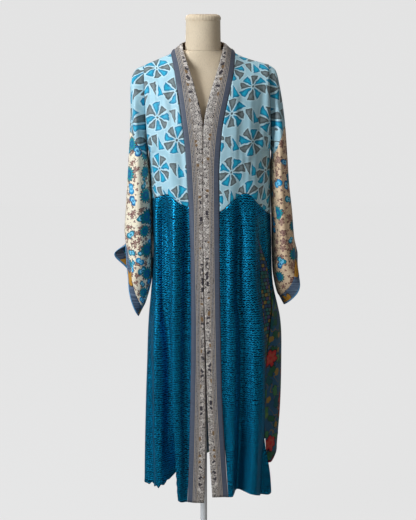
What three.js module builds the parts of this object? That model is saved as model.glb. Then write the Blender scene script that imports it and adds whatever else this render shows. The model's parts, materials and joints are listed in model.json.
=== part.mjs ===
// A kimono robe of patchwork silk on a limbless dress form, in millimetres.
// +X is the wearer's left, the front faces -Y, +Z is up and the floor is z = 0.
import * as THREE from "three";

// Driving dimensions
const WALL = 1.6;            // one layer of silk with its seam allowance
const BAND_WALL = 2.2;       // the neck band is folded double
const SEAM = 0.3;            // free width of every seam
const PROUD = 0.5;           // how far the band lies outside the panels
const UNDERARM = 1412;       // height of the underarm point
const SIDE_Y = 8;            // the shoulder line and the side seams lie in this plane
const SHOULDER_DROP = 100;   // depth over which the chest rounds into the shoulder
const ROUND = 0.85;          // exponent of the body's rounded section
const ARMHOLE_CORNER = 8;    // how close to the armhole the section turns its corner
const NECK_X = 93;           // the band's outer edge on the shoulder line
const NECK_TOP_X = 61;       // the band's inner edge on the shoulder line
const POLE_RADIUS = 11;
const BASE_RADIUS = 150;
const BASE_THICKNESS = 12;
const RIGHT = -1;
const LEFT = 1;

// Body rings: extreme half widths, front and back at the middle, and where the sides lie
const BODY = [
  { z: 330, right: 189, left: 235, front: -170, back: 142, rightY: -60, leftY: -30 },
  { z: 440, right: 187, left: 237, front: -167, back: 137, rightY: -52, leftY: -22 },
  { z: 600, right: 182, left: 246, front: -162, back: 130, rightY: -40, leftY: -12 },
  { z: 760, right: 176, left: 246, front: -154, back: 122, rightY: -28, leftY: -5 },
  { z: 880, right: 171, left: 240, front: -147, back: 115, rightY: -12, leftY: 2 },
  { z: 985, right: 161, left: 217, front: -142, back: 110, rightY: 0, leftY: 6 },
  { z: 1040, right: 157, left: 211, front: -140, back: 107, rightY: 4, leftY: 8 },
  { z: 1120, right: 154, left: 208, front: -136, back: 103, rightY: 6, leftY: 8 },
  { z: 1260, right: 155, left: 203, front: -131, back: 98, rightY: 8, leftY: 8 },
  { z: 1340, right: 159, left: 201, front: -130, back: 97, rightY: 8, leftY: 8 },
  { z: UNDERARM, right: 163, left: 199, front: -129, back: 98, rightY: 8, leftY: 8 },
  { z: 1511, right: 168, left: 194, front: -124, back: 102, rightY: 8, leftY: 8 },
  { z: 1593, right: 170, left: 192, front: -108, back: 102, rightY: 8, leftY: 8 },
  { z: 1646, right: 172, left: 190, front: -80, back: 98, rightY: 8, leftY: 8 },
  { z: 1690, right: 172, left: 190, front: -54, back: 88, rightY: 8, leftY: 8 },
  { z: 1740, right: 172, left: 190, front: -40, back: 76, rightY: 8, leftY: 8 },
];

// Height of the shoulder line across the body
const SHOULDER = [
  { x: -172, z: 1655 }, { x: -130, z: 1673 }, { x: -NECK_X, z: 1690 },
  { x: -NECK_TOP_X, z: 1718 }, { x: 0, z: 1754 }, { x: NECK_TOP_X, z: 1718 },
  { x: NECK_X, z: 1690 }, { x: 130, z: 1674 }, { x: 190, z: 1657 },
];

// Front band edges: x of its outer and inner edge at each height, for both fronts
const BAND = [
  { z: 330, rightOut: -50, rightIn: 2, leftOut: 77, leftIn: 29 },
  { z: 512, rightOut: -44, rightIn: 6, leftOut: 66, leftIn: 18 },
  { z: 675, rightOut: -40, rightIn: 6, leftOut: 57, leftIn: 12 },
  { z: 832, rightOut: -37, rightIn: 4, leftOut: 53, leftIn: 8 },
  { z: 985, rightOut: -37, rightIn: 1, leftOut: 50, leftIn: 3.5 },
  { z: 1136, rightOut: -39, rightIn: 0, leftOut: 48, leftIn: 1.4 },
  { z: 1259, rightOut: -42, rightIn: 0, leftOut: 47, leftIn: 1.3 },
  { z: 1341, rightOut: -46, rightIn: 0, leftOut: 46, leftIn: 1.3 },
  { z: 1427, rightOut: -51, rightIn: 0, leftOut: 49, leftIn: 1.4 },
  { z: 1511, rightOut: -61, rightIn: -2, leftOut: 59, leftIn: 4 },
  { z: 1592, rightOut: -73, rightIn: -21, leftOut: 77, leftIn: 23 },
  { z: 1646, rightOut: -82, rightIn: -38, leftOut: 88, leftIn: 41 },
  { z: 1690, rightOut: -NECK_X, rightIn: -54, leftOut: NECK_X, leftIn: 54 },
  { z: 1718, rightOut: -96, rightIn: -NECK_TOP_X, leftOut: 96, leftIn: NECK_TOP_X },
];

// Seam between yoke and skirts, and the hem, by the angle round the body
// (0 front, 90 wearer's left, 180 back, 270 wearer's right)
const LEVELS = [
  { angle: -180, seam: 1270, hem: 350 }, { angle: -130, seam: 1262, hem: 352 },
  { angle: -104, seam: 1263, hem: 358 }, { angle: -90, seam: 1263, hem: 364 },
  { angle: -78, seam: 1266, hem: 364 }, { angle: -52, seam: 1285, hem: 374 },
  { angle: -38, seam: 1294, hem: 386 }, { angle: -27, seam: 1282, hem: 428 },
  { angle: -22, seam: 1272, hem: 354 }, { angle: -12, seam: 1259, hem: 334 },
  { angle: 0, seam: 1252, hem: 334 }, { angle: 11, seam: 1249, hem: 350 },
  { angle: 21, seam: 1278, hem: 354 }, { angle: 35, seam: 1298, hem: 356 },
  { angle: 47, seam: 1270, hem: 336 }, { angle: 61, seam: 1240, hem: 327 },
  { angle: 72, seam: 1226, hem: 345 }, { angle: 90, seam: 1217, hem: 390 },
  { angle: 130, seam: 1250, hem: 358 }, { angle: 180, seam: 1270, hem: 350 },
];
// The back skirt's own cut hem, which rises at the wearer's left side
const BACK_HEM = [
  { angle: 90, z: 480 }, { angle: 108, z: 466 }, { angle: 128, z: 412 },
  { angle: 150, z: 362 }, { angle: 180, z: 350 }, { angle: 256, z: 352 }, { angle: 270, z: 358 },
];

// Folds of the skirts: angle at the seam and the hem, half width in degrees,
// depth (out is +) near the seam and at the hem, and the height where each begins
const FOLDS = [
  { top: -14, hem: -12, width: 7, upper: -11, lower: -3, from: 1380 },
  { top: -27, hem: -19, width: 9, upper: 10, lower: 9, from: 1400 },
  { top: -45, hem: -29, width: 10, upper: -13, lower: -60, from: 1400 },
  { top: -61, hem: -44, width: 9, upper: 8, lower: 10, from: 1380 },
  { top: -76, hem: -59, width: 8, upper: 0, lower: -14, from: 1000 },
  { top: -84, hem: -74, width: 8, upper: 0, lower: 5, from: 900 },
  { top: 18, hem: 17, width: 5, upper: 4, lower: 5, from: 1360 },
  { top: 28, hem: 26, width: 8, upper: -13, lower: -36, from: 1400 },
  { top: 42, hem: 37, width: 9, upper: 9, lower: 15, from: 1380 },
  { top: 55, hem: 53, width: 9, upper: -7, lower: -16, from: 1300 },
  { top: 84, hem: 84, width: 9, upper: 0, lower: -8, from: 880 },
  { top: 106, hem: 104, width: 9, upper: 2, lower: 10, from: 1150 },
  { top: 119, hem: 118, width: 9, upper: -4, lower: -26, from: 1240 },
  { top: 133, hem: 132, width: 10, upper: 4, lower: 9, from: 1230 },
  { top: 146, hem: 148, width: 9, upper: -3, lower: -14, from: 1150 },
  { top: 166, hem: 166, width: 11, upper: 4, lower: 13, from: 1240 },
  { top: 184, hem: 184, width: 9, upper: -5, lower: -32, from: 1250 },
  { top: 199, hem: 200, width: 9, upper: 3, lower: 8, from: 1180 },
  { top: 217, hem: 217, width: 9, upper: -3, lower: -17, from: 1200 },
  { top: 234, hem: 232, width: 10, upper: 4, lower: 10, from: 1240 },
  { top: 249, hem: 246, width: 8, upper: -3, lower: -22, from: 1100 },
];
const FOLD_RISE = 260;       // a fold comes to its full depth over this height
const FOLD_TOP = 1250;       // folds have their upper place and depth here
const FOLD_HEM = 340;        // and their lower ones here
const FOLD_GROWTH = 1.6;     // how late on the way down the lower depth takes over

// Left side slit with its pocket facing: the slit's front edge and the facing's width
const SLIT = [
  { z: 345, x: 215, width: 0 }, { z: 480, x: 204, width: 0 }, { z: 580, x: 195, width: 0 },
  { z: 655, x: 190, width: 4 }, { z: 780, x: 186, width: 12 }, { z: 870, x: 183, width: 24 },
  { z: 975, x: 180, width: 25 }, { z: 1050, x: 176, width: 20 }, { z: 1110, x: 171, width: 12 },
  { z: 1172, x: 159, width: 3 }, { z: 1215, x: 152, width: 0 }, { z: 1300, x: 148, width: 0 },
];

// Sleeve rings from the armhole to the rim: the lowest inner and the highest outer point,
// half depth, and how far the front and back edges bulge outward
const SLEEVE = {
  right: [
    { ring: 0, inX: -163, inZ: 1412, outX: -172, outZ: 1655, half: 52, front: 0, back: 0 },
    { ring: 1, inX: -164, inZ: 1409, outX: -198, outZ: 1641, half: 59, front: 0, back: 0 },
    { ring: 2, inX: -165, inZ: 1406, outX: -212, outZ: 1604, half: 66, front: 0, back: 0 },
    { ring: 3, inX: -165, inZ: 1402, outX: -213, outZ: 1540, half: 71, front: 0, back: 0 },
    { ring: 4, inX: -165, inZ: 1396, outX: -216, outZ: 1472, half: 74, front: 0, back: 0 },
    { ring: 5, inX: -163, inZ: 1362, outX: -222, outZ: 1390, half: 77, front: 0, back: 0 },
    { ring: 6, inX: -158, inZ: 1285, outX: -229, outZ: 1300, half: 79, front: 0, back: 0 },
    { ring: 7, inX: -157, inZ: 1195, outX: -236, outZ: 1218, half: 80, front: 0, back: 2 },
    { ring: 8, inX: -158, inZ: 1095, outX: -240, outZ: 1168, half: 80, front: -3, back: 6 },
    { ring: 9, inX: -162, inZ: 1005, outX: -238, outZ: 1142, half: 78, front: 2, back: 8 },
    { ring: 10, inX: -178, inZ: 938, outX: -234, outZ: 1130, half: 72, front: 5, back: 20 },
    { ring: 11, inX: -192, inZ: 908, outX: -236, outZ: 1124, half: 62, front: 8, back: 34 },
    { ring: 12, inX: -203, inZ: 886, outX: -239, outZ: 1116, half: 52, front: 10, back: 47 },
  ],
  left: [
    { ring: 0, inX: 199, inZ: 1412, outX: 190, outZ: 1657, half: 52, front: 0, back: 0 },
    { ring: 1, inX: 200, inZ: 1409, outX: 211, outZ: 1641, half: 59, front: 0, back: 0 },
    { ring: 2, inX: 201, inZ: 1406, outX: 222, outZ: 1603, half: 66, front: 0, back: 0 },
    { ring: 3, inX: 202, inZ: 1402, outX: 233, outZ: 1546, half: 71, front: 0, back: 0 },
    { ring: 4, inX: 203, inZ: 1397, outX: 241, outZ: 1486, half: 74, front: 0, back: 0 },
    { ring: 5, inX: 203, inZ: 1362, outX: 249, outZ: 1400, half: 77, front: 0, back: 0 },
    { ring: 6, inX: 205.5, inZ: 1285, outX: 257, outZ: 1312, half: 79, front: 0, back: 0 },
    { ring: 7, inX: 209, inZ: 1195, outX: 268, outZ: 1228, half: 80, front: 0, back: 0 },
    { ring: 8, inX: 212, inZ: 1105, outX: 274, outZ: 1168, half: 79, front: 2, back: 2 },
    { ring: 9, inX: 216, inZ: 1025, outX: 278, outZ: 1138, half: 77, front: 6, back: 4 },
    { ring: 10, inX: 226, inZ: 972, outX: 282, outZ: 1122, half: 72, front: 12, back: 6 },
    { ring: 11, inX: 238, inZ: 948, outX: 286, outZ: 1108, half: 66, front: 21, back: 8 },
    { ring: 12, inX: 250, inZ: 926, outX: 289, outZ: 1090, half: 60, front: 27, back: 10 },
  ],
};
const CAP_RINGS = [0, 1, 2, 3, 4];
const LOWER_RINGS = [4, 5, 6, 7, 8, 9, 10, 10.6];
const CUFF_RINGS = [10.6, 11.3, 12];
// Where up a ring each bulge is widest: 1 is halfway, less is lower and more is higher
const BULGE_RISE = { right: { front: 0.65, back: 3.2 }, left: { front: 0.75, back: 1 } };

// Dress form rings: half width, depths, and how pointed the sides are (1 is an ellipse)
const TORSO = [
  { z: 960, side: 70, front: -48, back: 48, point: 1 },
  { z: 968, side: 104, front: -74, back: 62, point: 1 },
  { z: 985, side: 128, front: -92, back: 78, point: 1 },
  { z: 1020, side: 139, front: -100, back: 86, point: 1 },
  { z: 1080, side: 140, front: -100, back: 88, point: 1 },
  { z: 1160, side: 130, front: -92, back: 80, point: 1 },
  { z: 1240, side: 118, front: -86, back: 70, point: 1 },
  { z: 1320, side: 126, front: -96, back: 74, point: 1 },
  { z: 1400, side: 138, front: -108, back: 82, point: 1 },
  { z: 1460, side: 144, front: -112, back: 86, point: 1 },
  { z: 1530, side: 148, front: -106, back: 88, point: 1 },
  { z: 1590, side: 152, front: -86, back: 84, point: 1 },
  { z: 1630, side: 155, front: -60, back: 72, point: 1.15 },
  { z: 1648, side: 155, front: -50, back: 60, point: 1.5 },
  { z: 1660, side: 143, front: -48, back: 56, point: 1.9 },
  { z: 1670, side: 126, front: -47, back: 54, point: 2 },
  { z: 1679, side: 106.5, front: -46, back: 53, point: 2 },
  { z: 1687, side: 88, front: -46, back: 52, point: 1.8 },
  { z: 1693, side: 70, front: -46, back: 51, point: 1.4 },
  { z: 1698, side: 56, front: -46, back: 50, point: 1.1 },
];
const NECK = [
  { z: 1698.3, side: 52, front: -46, back: 50, point: 1 },
  { z: 1730, side: 50.5, front: -46, back: 50, point: 1 },
  { z: 1782, side: 49.5, front: -46, back: 50, point: 1 },
];
const CAP = [
  { z: 1782.3, side: 51, front: -47.5, back: 51.5, point: 1 },
  { z: 1790, side: 50.5, front: -47, back: 51, point: 1 },
  { z: 1796, side: 46, front: -42, back: 46, point: 1 },
  { z: 1799, side: 38, front: -34, back: 38, point: 1 },
];

const radians = (degrees) => (degrees * Math.PI) / 180;
const degrees = (angle) => (angle * 180) / Math.PI;
const clamp = (value, low, high) => Math.min(Math.max(value, low), high);
const mix = (a, b, t) => a + (b - a) * t;
const wrap = (angle) => ((((angle + 180) % 360) + 360) % 360) - 180;

// Smooth value of one column of a table at a key, through every row
function look(rows, key, column, at) {
  const last = rows.length - 1;
  const t = clamp(at, rows[0][key], rows[last][key]);
  let i = 0;
  while (i < last - 1 && t > rows[i + 1][key]) i += 1;
  const slope = (j) => {
    const a = rows[Math.max(j - 1, 0)];
    const b = rows[Math.min(j + 1, last)];
    return (b[column] - a[column]) / (b[key] - a[key]);
  };
  const span = rows[i + 1][key] - rows[i][key];
  const s = (t - rows[i][key]) / span;
  const [p, q] = [rows[i][column], rows[i + 1][column]];
  const [m, n] = [slope(i) * span, slope(i + 1) * span];
  const bend = p * (2 * s - 3) * s * s - q * (2 * s - 3) * s * s;
  return p + bend + m * s * (1 - s) * (1 - s) - n * s * s * (1 - s);
}

const shoulderZ = (x) => look(SHOULDER, "x", "z", x);
const seamZ = (angle) => look(LEVELS, "angle", "seam", wrap(angle));
const hemZ = (angle) => look(LEVELS, "angle", "hem", wrap(angle));

// Where the body's section ends at the side: the side seam, or the armhole above it
function sideEdge(side, z, x) {
  const name = side === LEFT ? "left" : "right";
  if (z <= UNDERARM) {
    const y = look(BODY, "z", name + "Y", z);
    return { x: look(BODY, "z", name, z), y, reach: 0 };
  }
  const [armhole] = SLEEVE[name];
  const rise = clamp((z - UNDERARM) / (shoulderZ(x) - UNDERARM), 0, 1);
  const reach = 2 * armhole.half * Math.sqrt(rise * (1 - rise));
  const edge = Math.abs(mix(armhole.inX, armhole.outX, rise));
  return { x: edge, y: SIDE_Y, reach };
}

// Fold depth at an angle and a height
function foldDepth(angle, z) {
  let depth = 0;
  for (const fold of FOLDS) {
    const grown = clamp((fold.from - z) / FOLD_RISE, 0, 1);
    const down = clamp((FOLD_TOP - z) / (FOLD_TOP - FOLD_HEM), 0, 1);
    const away = Math.abs(wrap(angle - mix(fold.top, fold.hem, down))) / fold.width;
    if (away >= 1 || grown === 0) continue;
    const bell = Math.cos((away * Math.PI) / 2) ** 2;
    depth += bell * mix(fold.upper, fold.lower, down ** FOLD_GROWTH) * grown * grown * (3 - 2 * grown);
  }
  return depth;
}

// The garment's outer surface at an angle round the body and a height. The section is
// worked out again and again from a first guess of its x.
const FIRST_X = 100;
const PASSES = 5;
function shell(angle, z) {
  const a = radians(wrap(angle));
  const side = Math.sin(a) >= 0 ? LEFT : RIGHT;
  const isFront = Math.cos(a) >= 0;
  let x = side * FIRST_X;
  let edge;
  for (let i = 0; i < PASSES; i += 1) {
    edge = sideEdge(side, z, x);
    x = side * edge.x * Math.abs(Math.sin(a)) ** ROUND;
  }
  const drop = clamp((shoulderZ(x) - z) / SHOULDER_DROP, 0, 1);
  const round = Math.sqrt(1 - (1 - drop) ** 2);
  const middle = look(BODY, "z", isFront ? "front" : "back", z);
  const reach = SIDE_Y + (middle - SIDE_Y) * round - edge.y;
  const corner = edge.reach * Math.abs(Math.sin(a)) ** ARMHOLE_CORNER;
  const y = edge.y + reach * Math.abs(Math.cos(a)) ** ROUND + (isFront ? -corner : corner);
  const depth = foldDepth(angle, z);
  const out = new THREE.Vector2(Math.sin(a) * Math.abs(middle), -Math.cos(a) * edge.x);
  out.normalize().multiplyScalar(depth);
  return new THREE.Vector3(x + out.x, y + out.y, z);
}

// The outward normal of that surface, from points a short step to each side
const NORMAL_TURN = 0.4;
const NORMAL_RISE = 0.6;
function shellNormal(angle, z) {
  const across = shell(angle + NORMAL_TURN, z).sub(shell(angle - NORMAL_TURN, z));
  const up = shell(angle, z + NORMAL_RISE).sub(shell(angle, z - NORMAL_RISE));
  return across.cross(up).normalize();
}

// The angle at which the unfolded front or back reaches an x
function angleAt(x, z, isFront = true) {
  const side = x >= 0 ? LEFT : RIGHT;
  const edge = sideEdge(side, z, x);
  const a = degrees(Math.asin(clamp(Math.abs(x) / edge.x, 0, 1) ** (1 / ROUND)));
  return isFront ? side * a : 180 - side * a;
}

// A closed wall through a grid of outer and inner points; a tube's columns join up
function wallGeometry(outer, inner, isTube) {
  const rows = outer.length;
  const columns = outer[0].length;
  const points = [...outer.flat(), ...inner.flat()];
  const innerStart = rows * columns;
  const faces = [];
  const quad = (a, b, c, d) => faces.push([a, b, c], [a, c, d]);
  const at = (r, c) => r * columns + (c % columns);
  const spans = isTube ? columns : columns - 1;
  for (let r = 0; r + 1 < rows; r += 1) {
    for (let c = 0; c < spans; c += 1) {
      const [p, q, u, w] = [at(r, c), at(r, c + 1), at(r + 1, c + 1), at(r + 1, c)];
      quad(p, q, u, w);
      quad(p + innerStart, w + innerStart, u + innerStart, q + innerStart);
    }
  }
  const rim = (list) => list.slice(1).forEach((n, i) => quad(list[i], list[i] + innerStart, n + innerStart, n));
  const line = (count, index) => Array.from({ length: count }, (_, n) => index(n));
  rim(line(spans + 1, (c) => at(0, c)));
  rim(line(spans + 1, (c) => at(rows - 1, c)).reverse());
  if (!isTube) {
    rim(line(rows, (r) => at(r, columns - 1)));
    rim(line(rows, (r) => at(r, 0)).reverse());
  }
  return closedGeometry(points, faces);
}

// Geometry with its faces turned outward
function closedGeometry(points, faces) {
  let volume = 0;
  for (const [a, b, c] of faces) {
    volume += points[a].dot(new THREE.Vector3().crossVectors(points[b], points[c]));
  }
  const turned = volume < 0 ? faces.map(([a, b, c]) => [a, c, b]) : faces;
  const geometry = new THREE.BufferGeometry();
  const flat = points.flatMap((p) => [p.x, p.y, p.z]);
  geometry.setAttribute("position", new THREE.Float32BufferAttribute(flat, 3));
  geometry.setIndex(turned.flat());
  geometry.computeVertexNormals();
  return geometry;
}

const jacket = new THREE.Group();

function addMesh(name, geometry, finish) {
  const material = new THREE.MeshStandardMaterial(finish);
  const mesh = new THREE.Mesh(geometry, material);
  mesh.name = name;
  jacket.add(mesh);
}

const PALE_BLUE = { color: 0x9fc9d9, roughness: 0.5, metalness: 0 };
const TEAL = { color: 0x0f6f93, roughness: 0.4, metalness: 0 };
const FLORAL = { color: 0xd9cbb4, roughness: 0.6, metalness: 0 };
const DARK_FLORAL = { color: 0x25405a, roughness: 0.5, metalness: 0 };
const SLATE = { color: 0x4c5c6f, roughness: 0.6, metalness: 0 };
const BORDER = { color: 0x8a8f9e, roughness: 0.6, metalness: 0 };
const TILE = { color: 0x2d4a44, roughness: 0.5, metalness: 0 };
const ECRU = { color: 0xe3d9c3, roughness: 0.9, metalness: 0 };
const STEEL = { color: 0xbfbfbf, roughness: 0.4, metalness: 0.9 };

// Inner points of a wall: inside the outer ones along the grid's own normals, or along
// the shell's at the edges, where panels meet
function innerPoints(outer, edgeNormals, wall) {
  return outer.map((row, r) => row.map((p, c) => {
    const above = outer[r + 1]?.[c];
    const below = outer[r - 1]?.[c];
    const before = row[c - 1];
    const after = row[c + 1];
    const normal = edgeNormals[r][c].clone();
    if (above && below && before && after) {
      const across = after.clone().sub(before);
      const up = above.clone().sub(below);
      normal.copy(across.cross(up).normalize());
    }
    return p.clone().addScaledVector(normal, -wall);
  }));
}

// A panel on the shell. place(s, v) gives the angle and the height of each grid point.
function addPanel(name, cloth, columns, rows, place, keep = (p) => p, wall = WALL, proud = 0) {
  const spots = rows.map((v) => columns.map((s) => place(s, v)));
  const normals = spots.map((row) => row.map(({ angle, z }) => shellNormal(angle, z)));
  const outer = spots.map((row, r) => row.map(({ angle, z }, c) =>
    keep(shell(angle, z).addScaledVector(normals[r][c], proud))));
  const along = outer[0][1].clone().sub(outer[0][0]).cross(outer[1][0].clone().sub(outer[0][0]));
  const flow = Math.sign(along.dot(normals[0][0]));
  const edgeNormals = normals.map((row) => row.map((n) => n.multiplyScalar(flow)));
  const inner = innerPoints(outer, edgeNormals, flow * wall);
  addMesh(name, wallGeometry(outer, inner.map((row) => row.map(keep)), false), cloth);
}

// Angle and height of a point between two edges, where both edges and the levels follow z
function between(from, to, level) {
  return (s, v) => {
    let z = UNDERARM;
    let angle = 0;
    for (let i = 0; i < 8; i += 1) {
      angle = mix(from(z), to(z), s);
      z = level(v, angle);
    }
    return { angle, z };
  };
}

const GAP_ANGLE = 0.05;      // half a seam, as an angle round the body
const HALF = SEAM / 2;

const bandEdgeAngle = (name, side) => (z) =>
  angleAt(look(BAND, "z", name, z), z) + side * GAP_ANGLE;
const SIDE_TOP = 1262;       // the side seams swing back from this height down
const SIDE_LENGTH = 900;
const swing = (z) => clamp((SIDE_TOP - z) / SIDE_LENGTH, 0, 1);
const sideSeamRight = (z) => mix(-90, -104, swing(z));
const sideSeamLeft = (z) => mix(90, 97, swing(z));
const slitX = (z) => look(SLIT, "z", "x", z);
const slitAngle = (z) => angleAt(slitX(z), z);
const facingAngle = (z) => angleAt(slitX(z) + look(SLIT, "z", "width", z), z);
const shift = (edge, side) => (z) => edge(z) + side * GAP_ANGLE;

// Levels: v runs 0 to 1 from the hem up to the seam, in a skirt, and
// 0 to 1 from the seam to the underarm, then 1 to 2 up to the shoulder, in a yoke
const skirtLevel = (v, angle) => mix(hemZ(angle), seamZ(angle) - SEAM, v);
function backLevel(v, angle) {
  const low = SKIRT_ROWS[GORE_HEM];
  if (v >= low) return skirtLevel(v, angle);
  return mix(look(BACK_HEM, "angle", "z", angle), skirtLevel(low, angle), v / low);
}
function yokeLevel(v, angle, isBack) {
  if (v <= 1) return mix(seamZ(angle) + HALF, UNDERARM, v);
  const rise = (1 - Math.cos(Math.PI * (v - 1))) / 2;
  let top = shoulderZ(FIRST_X);
  for (let i = 0; i < PASSES; i += 1) {
    const { x } = shell(angle, mix(UNDERARM, top, rise));
    top = isBack && Math.abs(x) < NECK_X ? neckline(x) - HALF : shoulderZ(x);
  }
  return mix(UNDERARM, top, rise);
}
// The band's lower edge across the back neck
const BACK_NECK = 1672;
const neckline = (x) => mix(BACK_NECK, shoulderZ(NECK_X), (x / NECK_X) ** 2);

const SKIRT_ROWS = [0, 0.06, 0.12, 0.18, 0.26, 0.35, 0.44, 0.54, 0.64, 0.73, 0.82, 0.91, 1];
const GORE_HEM = 2;          // the left gore is cut short at this row
const GORE_SPLIT = 9;        // and its cross seam is on this one
const FACING_LOW = 5;        // the facing runs between these rows
const FACING_HIGH = 11;
const STEPS = 9;             // rows from the underarm to the shoulder
const YOKE_ROWS = [0, 0.5];
for (let i = 0; i <= STEPS; i += 1) YOKE_ROWS.push(1 + i / STEPS);

const fractions = (angles) => angles.map((a) => (a - angles[0]) / (angles[angles.length - 1] - angles[0]));
const RIGHT_COLUMNS = fractions([-12, -15, -19, -23, -27, -32, -38, -45, -52, -59, -66, -74, -84, -94, -104]);
const LEFT_COLUMNS = fractions([17, 19, 22, 25, 29, 33, 37, 42, 48, 54, 62, 72]);
const GORE_COLUMNS = fractions([72, 78, 84, 90, 97]);

// Columns of the left yoke: those of the front skirt and then of the gore, at the seam
const leftEdge = bandEdgeAngle("leftOut", LEFT);
const atSeam = (from, to) => (s) => {
  const { angle, z } = between(from, to, skirtLevel)(s, 1);
  return (angle - leftEdge(z)) / (90 - leftEdge(z));
};
const YOKE_LEFT_COLUMNS = [
  ...LEFT_COLUMNS.map(atSeam(leftEdge, slitAngle)),
  ...GORE_COLUMNS.slice(1).map(atSeam(slitAngle, sideSeamLeft)),
].map((s) => clamp(s, 0, 1));

// Columns of the back: the fold lines, and the two ends of the neckline
const neckLeft = angleAt(NECK_X, shoulderZ(NECK_X), false);
const neckRight = angleAt(-NECK_X, shoulderZ(NECK_X), false);
const BACK_ANGLES = [90, 97, 104, 111, 118, 125, 132, 141, 148, neckLeft, 166, 175, 184, 193, 200,
  neckRight, 217, 225, 232, 239, 246, 253, 261, 270];
const BACK_COLUMNS = fractions(BACK_ANGLES);

// Panels end just short of the side plane and of the armhole
function keepFront(p) {
  p.y = Math.min(p.y, p.z > UNDERARM - 1 ? SIDE_Y - HALF : p.y);
  return keepArmhole(p);
}
function keepBack(p) {
  p.y = Math.max(p.y, p.z > UNDERARM - 1 ? SIDE_Y + HALF : p.y);
  return keepArmhole(p);
}
function armholeX(side, z) {
  const [ring] = SLEEVE[side === LEFT ? "left" : "right"];
  return mix(ring.inX, ring.outX, (z - ring.inZ) / (ring.outZ - ring.inZ));
}
function keepArmhole(p) {
  if (p.z < UNDERARM - 1) return p;
  p.x = clamp(p.x, armholeX(RIGHT, p.z) + HALF, armholeX(LEFT, p.z) - HALF);
  return p;
}

addPanel("yoke_front_right", PALE_BLUE, RIGHT_COLUMNS, YOKE_ROWS,
  between(bandEdgeAngle("rightOut", RIGHT), () => -90 + GAP_ANGLE, yokeLevel), keepFront);
addPanel("yoke_front_left", PALE_BLUE, YOKE_LEFT_COLUMNS, YOKE_ROWS,
  between(bandEdgeAngle("leftOut", LEFT), () => 90 - GAP_ANGLE, yokeLevel), keepFront);
addPanel("yoke_back", PALE_BLUE, BACK_COLUMNS, YOKE_ROWS,
  between(() => 90 + GAP_ANGLE, () => 270 - GAP_ANGLE, (v, a) => yokeLevel(v, a, true)), keepBack);

addPanel("skirt_front_right", TEAL, RIGHT_COLUMNS, SKIRT_ROWS,
  between(bandEdgeAngle("rightOut", RIGHT), shift(sideSeamRight, 1), skirtLevel));
addPanel("skirt_front_left", TEAL, LEFT_COLUMNS, SKIRT_ROWS,
  between(bandEdgeAngle("leftOut", LEFT), shift(slitAngle, -1), skirtLevel));
const backSeam = (z) => 360 + sideSeamRight(z);
addPanel("skirt_back", DARK_FLORAL, BACK_COLUMNS, SKIRT_ROWS,
  between(shift(sideSeamLeft, 1), shift(backSeam, -1), backLevel));

// The left gore is two pieces with a cross seam, behind the facing
const splitGap = (v) => (v === SKIRT_ROWS[GORE_SPLIT] ? HALF : 0);
const upperLevel = (v, angle) => skirtLevel(v, angle) + splitGap(v);
const lowerLevel = (v, angle) => skirtLevel(v, angle) - splitGap(v);
addPanel("gore_upper_left", TEAL, GORE_COLUMNS, SKIRT_ROWS.slice(GORE_SPLIT),
  between(shift(facingAngle, 1), shift(sideSeamLeft, -1), upperLevel));
addPanel("gore_lower_left", DARK_FLORAL, GORE_COLUMNS, SKIRT_ROWS.slice(GORE_HEM, GORE_SPLIT + 1),
  between(shift(facingAngle, 1), shift(sideSeamLeft, -1), lowerLevel));
const FACING_ROWS = SKIRT_ROWS.slice(FACING_LOW, FACING_HIGH + 1);
const FACING_INSET = 3;      // in half seams
addPanel("pocket_facing_left", TILE, [0, 1], FACING_ROWS,
  between(shift(slitAngle, FACING_INSET), shift(facingAngle, -FACING_INSET), skirtLevel));

// The front bands lie beside the panels, a little proud of them. s runs across from the
// outer to the inner edge, and above the V the rows lean up to the neck.
const V_POINT = 1480;        // the V of the neck opens from this height up
const LEAN_GROWTH = 1.5;
function bandPlace(side) {
  const name = side === LEFT ? "left" : "right";
  const edge = bandEdgeAngle(name + "Out", side);
  return (s, v) => {
    const level = (w, angle) => (w <= 1 ? skirtLevel(w, angle) : yokeLevel(w - 1, angle));
    const outer = between(edge, edge, level)(0, v);
    const lean = clamp((outer.z - V_POINT) / (shoulderZ(NECK_X) - V_POINT), 0, 1);
    const innerZ = outer.z + (shoulderZ(NECK_TOP_X) - shoulderZ(NECK_X)) * lean ** LEAN_GROWTH;
    const z = mix(outer.z, innerZ, s);
    const outX = look(BAND, "z", name + "Out", outer.z) - side * HALF;
    const inX = look(BAND, "z", name + "In", innerZ);
    return { angle: angleAt(mix(outX, inX, s), z), z };
  };
}
const BAND_ROWS = [...SKIRT_ROWS, ...YOKE_ROWS.slice(1).map((v) => v + 1)];
const keepBandFront = (p) => {
  if (p.z > UNDERARM) p.y = Math.min(p.y, SIDE_Y - HALF);
  return p;
};
addPanel("band_right", BORDER, [0, 0.5, 1], BAND_ROWS, bandPlace(RIGHT), keepBandFront, BAND_WALL, PROUD);
addPanel("band_left", BORDER, [0, 0.5, 1], BAND_ROWS, bandPlace(LEFT), keepBandFront, BAND_WALL, PROUD);

// The back neck band stands on the back's neckline
const neckColumns = BACK_ANGLES.filter((a) => a >= neckLeft && a <= neckRight);
const BAND_BACK_TOP = 1727;
const NECK_LEVEL = 1682;     // halfway between the neckline's middle and its ends
const backBandPlace = (s, v) => {
  const low = neckline(v) + HALF;
  const z = mix(low, mix(BAND_BACK_TOP, shoulderZ(NECK_TOP_X), (v / NECK_X) ** 2), s);
  return { angle: angleAt(mix(v, (v * NECK_TOP_X) / NECK_X, s), z, false), z };
};
const neckXs = neckColumns.map((a) => clamp(shell(a, NECK_LEVEL).x, -NECK_X, NECK_X));
const keepBandBack = (p) => {
  p.y = Math.max(p.y, SIDE_Y + HALF);
  return p;
};
addPanel("band_back", BORDER, [0, 0.5, 1], neckXs, backBandPlace, keepBandBack, BAND_WALL, PROUD);

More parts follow.
